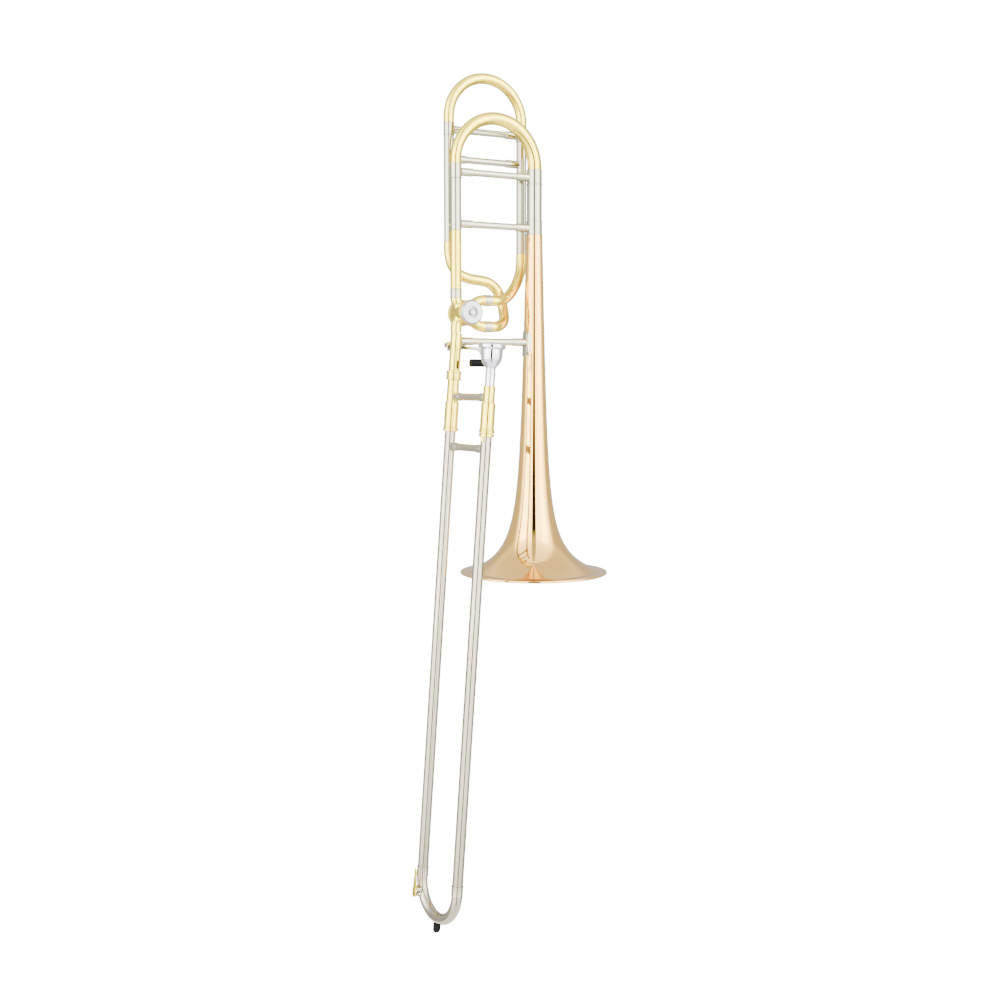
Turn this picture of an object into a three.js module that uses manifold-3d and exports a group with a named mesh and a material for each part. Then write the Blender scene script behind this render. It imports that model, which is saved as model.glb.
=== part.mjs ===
// Tenor trombone with a rotary F attachment, bell down, in millimetres, +Z up.
// Origin: centre of the bell's mouth. The bell's axis is Z and its mouth faces -Z.
// The neck leg stands at -X. The hand slide hangs below it, and its mouthpiece leg is on the -Y side.
import * as THREE from "three";
import { mergeVertices } from "three/addons/utils/BufferGeometryUtils.js";
import Module from "manifold-3d";

const wasm = await Module();
wasm.setup();

// Driving dimensions.
const GAP = 0.3; // between pieces that meet or slide in each other
const TUBE_SIDES = 16;
const BEND_SIDES = 12;
const BELL_SIDES = 28;

const BELL_RIM_D = 216;
const BELL_STEM_TOP = 490; // height of the bell's narrow end above its mouth
const BELL_SEAM_Z = 160; // where the flare is joined to the tail
const BELL_STEM_D = 22.4;
const BELL_TAPER = 9.5; // how much the stem's radius grows before the flare
const BELL_FLARE_LENGTH = 54.5;
const BELL_FLARE_POWER = 2.08;
const BELL_WALL = 0.8;
const BELL_BEAD_R = 1.6;

const LEG_SPACING = 125; // bell axis to neck leg
const BELL_FERRULE_LENGTH = 19.7;
const BELL_SLEEVE_LENGTH = 52;
const BELL_SLEEVE_D = 22.2;
const BELL_INNER_D = 20;
const NECK_SLEEVE_LENGTH = 71;
const NECK_SLEEVE_D = 16.2;
const NECK_INNER_D = 14.2;
const NECK_TUBE_D = 15.8;
const NECK_FERRULE_D = 17.2;
const NECK_FERRULE_LENGTH = 12.5;
const TUBE_WALL = 0.7;
const BOW_FERRULE_LENGTH = 20.5;
const BOW_STUB = 3.6; // straight length at each end of the main bow
const BOW_NECK_D = 15.4;
const BOW_BELL_D = 20.6;

const F_SETBACK = 31.4; // from the bell's plane back to the F attachment's plane
const F_INSET = 4.5; // each F leg stands this far inside the main leg in front of it
const F_TUBE_D = 15.2;
const F_SLEEVE_RISE = 64.6; // F sleeves' ends above the main slide's
const F_LEFT_SLEEVE_LENGTH = 148.5;
const F_RIGHT_SLEEVE_LENGTH = 160;
const F_INNER_D = 13.2;
const F_FERRULE_D = 16;
const F_FERRULE_LENGTH = 17.3;
const F_BOW_STUB = 8;
const F_INNER_LENGTH = 135;

const BRACE_ROD_D = 9.6;
const BRACE_SOCKET_D = 11.6;
const BRACE_SOCKET_LENGTH = 23;
const MAIN_BRACE_RISE = 9.8; // main slide's brace above its sleeves' ends
const FIXED_BRACE_RISE = 10; // fixed brace above the bell's narrow end
const F_SLIDE_BRACE_RISE = 8.2; // F slide's brace above its sleeves' ends
const F_FIXED_BRACE_DROP = 32.3; // F fixed brace below its sleeves' ends
const BELL_BRACE_Z = 335.5;
const FLANGE_HALF_HEIGHT = 18;
const FLANGE_TOP_HALF_WIDTH = 7.7;
const FLANGE_HALF_WIDTH = 12;
const FLANGE_SIDE_HALF_HEIGHT = 9;
const FLANGE_THICKNESS = 1.6;

const KNUCKLE_BEND_R = 12.1; // where the neck ports turn upright
const VALVE_Z = 376.5;
const ROTOR_R = 16.2;
const CASING_WALL = 2;
const CASING_HALF_LENGTH = 18.5;
const PORT_BORE_D = 13;
const KNUCKLE_D = 15.2;
const LOOP_BEND_R = 24; // where the F ports turn level
const PORT_FERRULE_LENGTH = 10;
const PORT_FERRULE_D = 16.4;
const FRONT_CAP_LENGTH = 4.5;
const FRONT_CAP_INSET = 3;
const CAP_HUB_R = 7.4;
const BACK_CAP_LENGTH = 3;
const SPINDLE_D = 8;
const STOP_ARM_R = 7; // rotor axis to the linkage pin
const STOP_ARM_THICKNESS = 3;
const STOP_HUB_D = 12;
const LINK_D = 6; // short braces between the bell section and the F attachment

const LEVER_AXIS_Y = 14.5;
const LEVER_AXIS_Z = 331.5;
const LEVER_SWING = THREE.MathUtils.degToRad(28.7);
const LINK_ARM = 20; // lever axis to the linkage pin
const LINK_OFFSET = 3.5; // neck leg to the middle of the lever's link arm
const LINK_ARM_THICKNESS = 2.4;
const ROD_EYE_D = 6;
const LEVER_LEFT_REACH = 8.5; // neck leg to the lever hinge's ends
const LEVER_RIGHT_REACH = 17.5;
const LEVER_TUBE_D = 5.6;
const LEVER_PIN_D = 2.6;
const LEVER_WIRE_D = 4.8;
const LUG_THICKNESS = 2;
const SADDLE_THICKNESS = 1.2;
const PAD_D = 11;
const PAD_LENGTH = 30;
const PAD_OFFSET = 7.5; // neck leg to the pad's near end
const PAD_REACH = 44.5; // pad's axis in front of the lever's axis
const PAD_DROP = 25.5; // and below it

const SLIDE_TILT = THREE.MathUtils.degToRad(4.18); // slide axis leans from the bell's axis
const SLIDE_TURN = THREE.MathUtils.degToRad(7.85); // slide's plane turned about its own axis
const SLIDE_PIVOT_Z = 340; // where the slide axis meets the neck leg's line
const SLIDE_SPACING = 90;
const INNER_SLIDE_D = 14;
const OUTER_SLIDE_WALL = 0.4;
const RECEIVER_WALL = 0.4;
const RECEIVER_TOP = 8; // above the pivot, along the slide
const RECEIVER_LENGTH = 53;
const TENON_D = 16.8;
const TENON_NECK_WALL = 0.2; // over the inner slide, inside the receiver
const NUT_D = 22.6;
const NUT_LENGTH = 12.4;
const BARREL_TOP = 88; // below the pivot
const BARREL_LENGTH = 36;
const BARREL_CLEARANCE = 0.7; // around the outer slide
const BARREL_WALL = 1.4;
const BARREL_RING_RISE = 1.1; // the ring's step above the barrel
const BARREL_RING_LENGTH = 5.6;
const BARREL_DEPTH = 28; // hollow that takes the cork and the outer tube's end
const LEADPIPE_TOP = 65.6;
const LEADPIPE_D = 16.3;
const UPPER_BRACE_DEPTH = 81;
const SLIDE_ROD_D = 10.4;
const SLIDE_SOCKET_D = 12;
const HAND_BRACE_DEPTH = 151;
const CROOK_DEPTH = 769;
const CROOK_WALL = 0.5;
const CROOK_FERRULE_LENGTH = 15;
const CROOK_FERRULE_WALL = 1.1;
const CORK_LENGTH = 12;
const BUMPER_D = 10.8;
const BUMPER_LENGTH = 12.5;

const NIPPLE_D = 5;
const NIPPLE_BORE = 2.4;
const NIPPLE_REACH = 4.5; // beyond the crook's side
const KEY_Y = -6; // nipple, from the left leg's axis
const KEY_Z = -(CROOK_DEPTH + 22.5);
const KEY_PIN_RISE = 8; // pin above the nipple
const KEY_PIN_D = 2;
const KEY_WIDTH = 8.4;
const KEY_LENGTH = 29;
const LOCK_RING_LENGTH = 4.5;
const LOCK_ANGLE = THREE.MathUtils.degToRad(20);

const MP_RIM_D = 38;
const MP_CUP_D = 25.6;
const MP_TOP = 57.5; // how far the mouthpiece stands out of its receiver
const MP_SHANK_LENGTH = 20;

// Places that follow from the sizes above.
const NECK_X = -LEG_SPACING;
const LINK_X = NECK_X + LINK_OFFSET;
const LEVER_LEFT_X = NECK_X - LEVER_LEFT_REACH;
const LEVER_RIGHT_X = NECK_X + LEVER_RIGHT_REACH;
const PAD_LEFT_X = NECK_X + PAD_OFFSET;
const F_LEFT_X = NECK_X + F_INSET;
const F_RIGHT_X = -F_INSET;
const SLEEVE_TOP = BELL_STEM_TOP + BELL_FERRULE_LENGTH + BELL_SLEEVE_LENGTH;
const NECK_SLEEVE_BOTTOM = SLEEVE_TOP - NECK_SLEEVE_LENGTH;
const BOW_BOTTOM = SLEEVE_TOP + BOW_FERRULE_LENGTH;
const MAIN_BRACE_Z = SLEEVE_TOP + MAIN_BRACE_RISE;
const FIXED_BRACE_Z = BELL_STEM_TOP + FIXED_BRACE_RISE;
const F_SLEEVE_TOP = SLEEVE_TOP + F_SLEEVE_RISE;
const F_SLIDE_BRACE_Z = F_SLEEVE_TOP + F_SLIDE_BRACE_RISE;
const F_FIXED_BRACE_Z = F_SLEEVE_TOP - F_FIXED_BRACE_DROP;
const F_BOW_BOTTOM = F_SLEEVE_TOP + F_FERRULE_LENGTH;
const CASING_R = ROTOR_R + GAP + CASING_WALL;
const FRONT_CAP_D = 2 * (CASING_R - FRONT_CAP_INSET);
const HALF_DIAGONAL = Math.SQRT1_2;
const PORT_REACH = ROTOR_R * HALF_DIAGONAL;
const VALVE_X = NECK_X + PORT_REACH + KNUCKLE_BEND_R * (1 - HALF_DIAGONAL);
const NECK_BEND_TOP = VALVE_Z + PORT_REACH + KNUCKLE_BEND_R * HALF_DIAGONAL;
const NECK_BEND_BOTTOM = 2 * VALVE_Z - NECK_BEND_TOP;
const LOOP_LEVEL = PORT_REACH + LOOP_BEND_R * (1 - HALF_DIAGONAL); // F ports level out this far away
const LOOP_START_X = VALVE_X + PORT_REACH + LOOP_BEND_R * HALF_DIAGONAL;
const STOP_ARM_Y = CASING_HALF_LENGTH + 2 * GAP + BACK_CAP_LENGTH;
const ROD_TOP_Y = STOP_ARM_Y + STOP_ARM_THICKNESS + GAP + ROD_EYE_D / 2;
const LINK_TIP_Y = LEVER_AXIS_Y + LINK_ARM * Math.cos(LEVER_SWING / 2);
const LINK_TIP_Z = LEVER_AXIS_Z - LINK_ARM * Math.sin(LEVER_SWING / 2);
const OUTER_BORE_D = INNER_SLIDE_D + 2 * GAP;
const OUTER_SLIDE_D = OUTER_BORE_D + 2 * OUTER_SLIDE_WALL;
const CROOK_D = OUTER_BORE_D + 2 * CROOK_WALL;
const CROOK_FERRULE_D = OUTER_BORE_D + 2 * CROOK_FERRULE_WALL;
const BARREL_BORE_D = OUTER_SLIDE_D + 2 * BARREL_CLEARANCE;
const BARREL_D = BARREL_BORE_D + 2 * BARREL_WALL;
const BARREL_RING_D = BARREL_D + 2 * BARREL_RING_RISE;
const TENON_INNER_D = INNER_SLIDE_D + 2 * GAP + 2 * TENON_NECK_WALL;
const RECEIVER_D = TENON_INNER_D + 2 * GAP + 2 * RECEIVER_WALL;
const MP_SHANK_D = INNER_SLIDE_D - 2 * GAP;
const SADDLE_Y = RECEIVER_D / 2 + 0.6;
const PAD_Y = LEVER_AXIS_Y - PAD_REACH;
const PAD_Z = LEVER_AXIS_Z - PAD_DROP;
const BARREL_FLOOR = BARREL_TOP + BARREL_LENGTH - BARREL_DEPTH;
const OUTER_TOP = BARREL_FLOOR + CORK_LENGTH + GAP;
const SLIDE_FERRULE_TOP = CROOK_DEPTH - CROOK_FERRULE_LENGTH;

const FINISH = {
  yellow_brass: { color: 0xe6cf8f, roughness: 0.16, metalness: 1 },
  rose_brass: { color: 0xe9c39a, roughness: 0.16, metalness: 1 },
  chrome_plate: { color: 0xe4e6e8, roughness: 0.12, metalness: 1 },
  nickel_silver: { color: 0xd9d4c8, roughness: 0.2, metalness: 1 },
  satin_nickel: { color: 0xb6aea0, roughness: 0.42, metalness: 1 },
  silver_plate: { color: 0xeeeef0, roughness: 0.1, metalness: 1 },
  spring_steel: { color: 0x8d8f93, roughness: 0.3, metalness: 1 },
  black_plastic: { color: 0x2b2b2c, roughness: 0.45, metalness: 0 },
  black_rubber: { color: 0x262626, roughness: 0.7, metalness: 0 },
  cork: { color: 0xb78e5e, roughness: 0.9, metalness: 0 },
};

// Solids.

function lathe(profile, sides = TUBE_SIDES) {
  // Turns closed [radius, height] points about Z.
  const points = [...profile, profile[0]].map(([r, z]) => new THREE.Vector2(r, z));
  return new THREE.LatheGeometry(points, sides).rotateX(Math.PI / 2);
}

function solidLathe(profile, sides = TUBE_SIDES) {
  // Turns [radius, height] points that start and end on the axis about Z.
  const points = profile.map(([r, z]) => new THREE.Vector2(r, z));
  return new THREE.LatheGeometry(points, sides).rotateX(Math.PI / 2);
}

function tube(outerD, boreD, bottom, top, sides = TUBE_SIDES) {
  const outer = outerD / 2;
  const bore = boreD / 2;
  return lathe([[bore, bottom], [outer, bottom], [outer, top], [bore, top]], sides);
}

function rod(diameter, bottom, top, sides = TUBE_SIDES) {
  const r = diameter / 2;
  return solidLathe([[0, bottom], [r, bottom], [r, top], [0, top]], sides);
}

function alongX(geometry) {
  return geometry.rotateY(Math.PI / 2);
}

function alongY(geometry) {
  return geometry.rotateX(-Math.PI / 2);
}

function at(geometry, x, y, z) {
  return geometry.translate(x, y, z);
}

function box(sizeX, sizeY, sizeZ, x, y, z) {
  return new THREE.BoxGeometry(sizeX, sizeY, sizeZ).translate(x, y, z);
}

function bentTube(path, outerD, boreD, steps) {
  const section = new THREE.Shape();
  section.absarc(0, 0, outerD / 2, 0, 2 * Math.PI, false);
  if (boreD > 0) {
    const bore = new THREE.Path();
    bore.absarc(0, 0, boreD / 2, 0, 2 * Math.PI, true);
    section.holes.push(bore);
  }
  const curveSegments = BEND_SIDES / 2; // a full circle gets twice this
  const options = { steps, extrudePath: path, curveSegments, bevelEnabled: false };
  return new THREE.ExtrudeGeometry(section, options);
}

function curve(points) {
  const places = points.map((p) => new THREE.Vector3(...p));
  return new THREE.CatmullRomCurve3(places, false, "centripetal");
}

// A path in the XZ plane, walked from a start with a heading (0 is +X, a quarter turn is +Z).
// Each move is [length] for a straight stretch or [radius, turn] for an arc, turn in radians.
class Route extends THREE.Curve {
  constructor(x, z, heading, moves) {
    super();
    this.pieces = [];
    this.length = 0;
    for (const [size, turn = 0] of moves) {
      const length = turn === 0 ? size : size * Math.abs(turn);
      this.pieces.push({ x, z, heading, size, turn, start: this.length });
      [x, z] = Route.walk(x, z, heading, size, turn, length);
      heading += turn;
      this.length += length;
    }
    this.end = { x, z };
  }

  static walk(x, z, heading, size, turn, length) {
    if (turn === 0) return [x + length * Math.cos(heading), z + length * Math.sin(heading)];
    const side = Math.sign(turn);
    const swept = heading + (side * length) / size;
    const alongX = side * size * (Math.sin(swept) - Math.sin(heading));
    const alongZ = side * size * (Math.cos(heading) - Math.cos(swept));
    return [x + alongX, z + alongZ];
  }

  getPoint(t, target = new THREE.Vector3()) {
    const s = t * this.length;
    const piece = this.pieces.findLast((p) => p.start <= s) ?? this.pieces[0];
    const { x, z, heading, size, turn, start } = piece;
    const [px, pz] = Route.walk(x, z, heading, size, turn, s - start);
    return target.set(px, 0, pz);
  }
}

// A U with straight stubs, open end down, from x0 to x1 at height z.
function bowRoute(x0, x1, z, stub) {
  return new Route(x0, z, Math.PI / 2, [[stub], [(x1 - x0) / 2, -Math.PI], [stub]]);
}

function solidOf(geometry) {
  const bare = geometry.index ? geometry.toNonIndexed() : geometry.clone();
  bare.deleteAttribute("normal");
  bare.deleteAttribute("uv");
  const merged = mergeVertices(bare, 1e-3);
  const vertProperties = new Float32Array(merged.attributes.position.array);
  const triVerts = new Uint32Array(merged.index.array);
  return new wasm.Manifold(new wasm.Mesh({ numProp: 3, vertProperties, triVerts }));
}

function geometryOf(solid) {
  const mesh = solid.getMesh();
  const geometry = new THREE.BufferGeometry();
  geometry.setAttribute("position", new THREE.BufferAttribute(mesh.vertProperties, 3));
  geometry.setIndex(new THREE.BufferAttribute(mesh.triVerts, 1));
  return geometry;
}

function join(...geometries) {
  return geometryOf(geometries.map(solidOf).reduce((sum, s) => sum.add(s)));
}

function cut(geometry, ...tools) {
  return geometryOf(tools.map(solidOf).reduce((rest, s) => rest.subtract(s), solidOf(geometry)));
}

// The scene: pieces in the bell's frame, and pieces in the slide's frame, whose +Z runs up the
// slide's axis from its pivot and whose -Y points to the mouthpiece leg.
const trombone = new THREE.Group();
const slideFrame = new THREE.Group();
slideFrame.position.set(NECK_X, 0, SLIDE_PIVOT_Z);
slideFrame.rotation.set(0, SLIDE_TILT, SLIDE_TURN, "YXZ");
trombone.add(slideFrame);
slideFrame.updateMatrixWorld(true);

function add(name, finish, geometry, parent = trombone) {
  const mesh = new THREE.Mesh(geometry, new THREE.MeshStandardMaterial(FINISH[finish]));
  mesh.name = name;
  parent.add(mesh);
  return mesh;
}

function addToSlide(name, finish, geometry) {
  return add(name, finish, geometry, slideFrame);
}

// A brace: a rod with a socket at each end, from x0 to x1 along X.
function brace(x0, x1, y, z, rodD = BRACE_ROD_D, socketD = BRACE_SOCKET_D) {
  const r = rodD / 2;
  const s = socketD / 2;
  const inner0 = x0 + BRACE_SOCKET_LENGTH;
  const inner1 = x1 - BRACE_SOCKET_LENGTH;
  const outline = [
    [0, x0], [s, x0], [s, inner0], [r, inner0 + 1],
    [r, inner1 - 1], [s, inner1], [s, x1], [0, x1],
  ];
  return at(alongX(solidLathe(outline)), 0, y, z);
}

// The same brace with its ends hollowed to seat on tubes of the given diameters.
function seatedBrace(x0, d0, x1, d1, y, z, length = 60) {
  const left = at(rod(d0 + 2 * GAP, -length / 2, length / 2), x0, y, z);
  const right = at(rod(d1 + 2 * GAP, -length / 2, length / 2), x1, y, z);
  return cut(brace(x0 + d0 / 4, x1 - d1 / 4, y, z), left, right);
}

// Bell section.

function bellRadius(z) {
  const s = z / BELL_STEM_TOP;
  const flare = BELL_RIM_D / 2 - BELL_STEM_D / 2 - BELL_TAPER;
  const spread = flare * (1 + z / BELL_FLARE_LENGTH) ** -BELL_FLARE_POWER;
  return BELL_STEM_D / 2 + BELL_TAPER * (1 - s) + spread;
}

// The bell's flare, from its rolled rim up to the seam.
function bellFlare() {
  const rings = 9;
  const heights = Array.from({ length: rings }, (_, i) => BELL_SEAM_Z * ((i + 1) / rings) ** 2);
  const outside = heights.slice(1).map((z) => [bellRadius(z), z]);
  const inside = heights.slice(1).map((z) => [bellRadius(z) - BELL_WALL, z]);
  const rim = BELL_RIM_D / 2;
  const mouthFlat = 2 * BELL_BEAD_R;
  const lip = [[rim - mouthFlat, BELL_WALL], [rim - mouthFlat, 0], [rim - 0.6, 0]];
  const bead = [[rim, 0.8], [rim, mouthFlat - 0.6], [rim - 1, mouthFlat]];
  return lathe([...lip, ...bead, ...outside, ...inside.reverse()], BELL_SIDES);
}

function bellTail() {
  const rings = 6;
  const bottom = BELL_SEAM_Z + GAP;
  const rise = (BELL_STEM_TOP - bottom) / rings;
  const heights = Array.from({ length: rings + 1 }, (_, i) => bottom + rise * i);
  const outside = heights.map((z) => [bellRadius(z), z]);
  const inside = heights.map((z) => [bellRadius(z) - BELL_WALL, z]);
  return lathe([...outside, ...inside.reverse()], BELL_SIDES);
}

function buildBell() {
  add("bell", "rose_brass", bellFlare());
  add("bell_tail", "rose_brass", bellTail());
  const ferruleTop = BELL_STEM_TOP + BELL_FERRULE_LENGTH;
  const bore = BELL_INNER_D + 2 * GAP;
  const ferrule = tube(BELL_SLEEVE_D + 1, bore, BELL_STEM_TOP + GAP, ferruleTop);
  add("bell_ferrule", "nickel_silver", ferrule);
  const sleeve = tube(BELL_SLEEVE_D, bore, ferruleTop + GAP, SLEEVE_TOP);
  add("bell_leg_sleeve", "nickel_silver", sleeve);
}

// An eight-sided plate bent round the bell's stem on its -X side.
function buildBellFlange() {
  const low = BELL_BRACE_Z - FLANGE_HALF_HEIGHT;
  const high = BELL_BRACE_Z + FLANGE_HALF_HEIGHT;
  const inner = [low - 1, high + 1].map((z) => [bellRadius(z) + GAP, z]);
  const outer = inner.map(([r, z]) => [r + FLANGE_THICKNESS, z]);
  const shell = lathe([inner[0], outer[0], outer[1], inner[1]], 32);
  const plate = new THREE.Shape();
  plate.moveTo(-FLANGE_TOP_HALF_WIDTH, FLANGE_HALF_HEIGHT);
  plate.lineTo(-FLANGE_HALF_WIDTH, FLANGE_SIDE_HALF_HEIGHT);
  plate.lineTo(-FLANGE_HALF_WIDTH, -FLANGE_SIDE_HALF_HEIGHT);
  plate.lineTo(-FLANGE_TOP_HALF_WIDTH, -FLANGE_HALF_HEIGHT);
  plate.lineTo(FLANGE_TOP_HALF_WIDTH, -FLANGE_HALF_HEIGHT);
  plate.lineTo(FLANGE_HALF_WIDTH, -FLANGE_SIDE_HALF_HEIGHT);
  plate.lineTo(FLANGE_HALF_WIDTH, FLANGE_SIDE_HALF_HEIGHT);
  plate.lineTo(FLANGE_TOP_HALF_WIDTH, FLANGE_HALF_HEIGHT);
  const cutter = new THREE.ExtrudeGeometry(plate, { depth: 30, bevelEnabled: false });
  cutter.rotateX(Math.PI / 2).rotateZ(-Math.PI / 2).translate(0, 0, BELL_BRACE_Z);
  add("bell_flange", "nickel_silver", geometryOf(solidOf(shell).intersect(solidOf(cutter))));
}

function buildNeckLeg() {
  const bore = NECK_INNER_D + 2 * GAP;
  const sleeve = tube(NECK_SLEEVE_D, bore, NECK_SLEEVE_BOTTOM, SLEEVE_TOP);
  add("neck_sleeve", "nickel_silver", at(sleeve, NECK_X, 0, 0));
  const ferruleTop = NECK_BEND_TOP + GAP + NECK_FERRULE_LENGTH;
  const neckBore = NECK_TUBE_D - 2 * TUBE_WALL;
  const upper = tube(NECK_TUBE_D, neckBore, ferruleTop + GAP, NECK_SLEEVE_BOTTOM - GAP);
  add("neck_tube", "yellow_brass", at(upper, NECK_X, 0, 0));
  const ferrule = tube(NECK_FERRULE_D, neckBore, NECK_BEND_TOP + GAP, ferruleTop);
  add("neck_ferrule", "nickel_silver", at(ferrule, NECK_X, 0, 0));
}

// Rotary valve: the rotor turns about Y in its casing, whose four ports stand at 45 degrees.

// The route of a port's knuckle, from inside the casing: side -1 is the neck, +1 the F tubing.
function knuckleRoute(side, end, insideLength, tail) {
  const outward = Math.atan2(end, side);
  const reach = PORT_REACH - insideLength * HALF_DIAGONAL;
  const x = VALVE_X + side * reach;
  const z = VALVE_Z + end * reach;
  const bendR = side < 0 ? KNUCKLE_BEND_R : LOOP_BEND_R;
  return new Route(x, z, outward, [[insideLength], [bendR, (-end * Math.PI) / 4], [tail]]);
}

function buildValve() {
  const receiverTop = SLIDE_PIVOT_Z + RECEIVER_TOP + 1;
  const knuckles = [
    { side: -1, end: 1, tail: 0.1, steps: 4 },
    { side: -1, end: -1, tail: NECK_BEND_BOTTOM - receiverTop, steps: 6 },
    { side: 1, end: 1, tail: 0.1, steps: 5 },
    { side: 1, end: -1, tail: 0.1, steps: 5 },
  ];
  const body = alongY(rod(2 * CASING_R, -CASING_HALF_LENGTH, CASING_HALF_LENGTH, 24));
  const outsides = knuckles.map((k) =>
    bentTube(knuckleRoute(k.side, k.end, 6, k.tail), k.side < 0 ? NECK_TUBE_D : KNUCKLE_D, 0, k.steps));
  const bores = knuckles.map((k) =>
    bentTube(knuckleRoute(k.side, k.end, 6, k.tail + 1), PORT_BORE_D, 0, k.steps));
  const chamberHalf = CASING_HALF_LENGTH + 1;
  const chamber = alongY(rod(2 * (ROTOR_R + GAP), -chamberHalf, chamberHalf, 24));
  const [casing, hollow] = [body, chamber].map((g) => at(g, VALVE_X, 0, VALVE_Z));
  add("valve_casing", "yellow_brass", cut(join(casing, ...outsides), hollow, ...bores));

  const front = -CASING_HALF_LENGTH - GAP;
  const hubFace = front - FRONT_CAP_LENGTH;
  const capR = FRONT_CAP_D / 2;
  const capOutline = [
    [0, front], [capR + 1, front], [capR + 1, front - 1.6], [capR, front - 1.6],
    [capR - 0.8, hubFace], [CAP_HUB_R, hubFace], [CAP_HUB_R - 0.4, front - 1.2],
    [CAP_HUB_R - 2.8, front - 1.2], [CAP_HUB_R - 3.2, hubFace - 0.4], [0, hubFace - 0.4],
  ];
  const cap = alongY(solidLathe(capOutline.reverse(), 24));
  add("valve_front_cap", "silver_plate", at(cap, VALVE_X, 0, VALVE_Z));

  const back = CASING_HALF_LENGTH + GAP;
  const plate = tube(2 * CASING_R, SPINDLE_D + 2 * GAP, back, back + BACK_CAP_LENGTH, 24);
  add("valve_back_plate", "yellow_brass", at(alongY(plate), VALVE_X, 0, VALVE_Z));
}

// The rotor has a curved passage on each side, each joining two neighbouring ports.
function buildRotor() {
  const half = CASING_HALF_LENGTH - GAP;
  const body = alongY(rod(2 * ROTOR_R, -half, half, 24));
  const spindleTop = CASING_HALF_LENGTH + 2 * GAP + BACK_CAP_LENGTH + STOP_ARM_THICKNESS;
  const spindle = alongY(rod(SPINDLE_D, 0, spindleTop, 16));
  const passages = [-1, 1].map((side) => {
    const ring = new THREE.TorusGeometry(ROTOR_R, PORT_BORE_D / 2, 8, 16);
    return ring.rotateX(Math.PI / 2).translate(side * ROTOR_R * Math.SQRT2, 0, 0);
  });
  const rotor = cut(join(body, spindle), ...passages);
  add("rotor", "nickel_silver", at(rotor, VALVE_X, 0, VALVE_Z));
}

// The F attachment's tubing behind the bell section.

function buildFTubing() {
  const bore = F_INNER_D + 2 * GAP;
  const legs = [
    { side: "left", x: F_LEFT_X, length: F_LEFT_SLEEVE_LENGTH },
    { side: "right", x: F_RIGHT_X, length: F_RIGHT_SLEEVE_LENGTH },
  ];
  for (const { side, x, length } of legs) {
    const sleeve = tube(F_TUBE_D, bore, F_SLEEVE_TOP - length, F_SLEEVE_TOP);
    add(`f_sleeve_${side}`, "nickel_silver", at(sleeve, x, F_SETBACK, 0));
  }
  const upperLevel = VALVE_Z + LOOP_LEVEL;
  const lowerLevel = VALVE_Z - LOOP_LEVEL;
  const ferruleStart = LOOP_START_X + GAP + 0.1;
  const ferruleEnd = ferruleStart + PORT_FERRULE_LENGTH;
  for (const [name, level] of [["f_upper_ferrule", upperLevel], ["f_lower_ferrule", lowerLevel]]) {
    const ferrule = alongX(tube(PORT_FERRULE_D, PORT_BORE_D, ferruleStart, ferruleEnd));
    add(name, "nickel_silver", at(ferrule, 0, 0, level));
  }
  const loopX = ferruleEnd + GAP;
  const rightBottom = F_SLEEVE_TOP - F_RIGHT_SLEEVE_LENGTH - GAP;
  const upperPath = curve([
    [loopX, 0, upperLevel],
    [loopX + 4, 0, upperLevel],
    [loopX + 10, 0.6, upperLevel],
    [loopX + 25, 6, upperLevel + 3],
    [F_RIGHT_X - 27, 14, upperLevel + 12],
    [F_RIGHT_X - 12, 22.5, upperLevel + 29],
    [F_RIGHT_X - 3, F_SETBACK - 3, rightBottom - 24],
    [F_RIGHT_X, F_SETBACK, rightBottom - 8],
    [F_RIGHT_X, F_SETBACK, rightBottom],
  ]);
  add("f_upper_loop", "yellow_brass", bentTube(upperPath, F_TUBE_D, PORT_BORE_D, 12));
  const leftBottom = F_SLEEVE_TOP - F_LEFT_SLEEVE_LENGTH - GAP;
  const lowerPath = curve([
    [F_LEFT_X, F_SETBACK, leftBottom],
    [F_LEFT_X, F_SETBACK, leftBottom - 14],
    [F_LEFT_X + 4, F_SETBACK, leftBottom - 31],
    [F_LEFT_X + 15, F_SETBACK, leftBottom - 44],
    [F_LEFT_X + 31, F_SETBACK, leftBottom - 50],
    [F_LEFT_X + 48, F_SETBACK, leftBottom - 52],
    [F_LEFT_X + 63, F_SETBACK, leftBottom - 55],
    [F_LEFT_X + 75, F_SETBACK, leftBottom - 64],
    [F_LEFT_X + 82, 30, lowerLevel + 40.5],
    [F_LEFT_X + 83, 24, lowerLevel + 24.5],
    [F_LEFT_X + 78, 13.5, lowerLevel + 10],
    [F_LEFT_X + 66, 4.5, lowerLevel + 2],
    [loopX + 5, 0, lowerLevel],
    [loopX, 0, lowerLevel],
  ]);
  add("f_lower_loop", "yellow_brass", bentTube(lowerPath, F_TUBE_D, PORT_BORE_D, 22));
}

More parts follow.
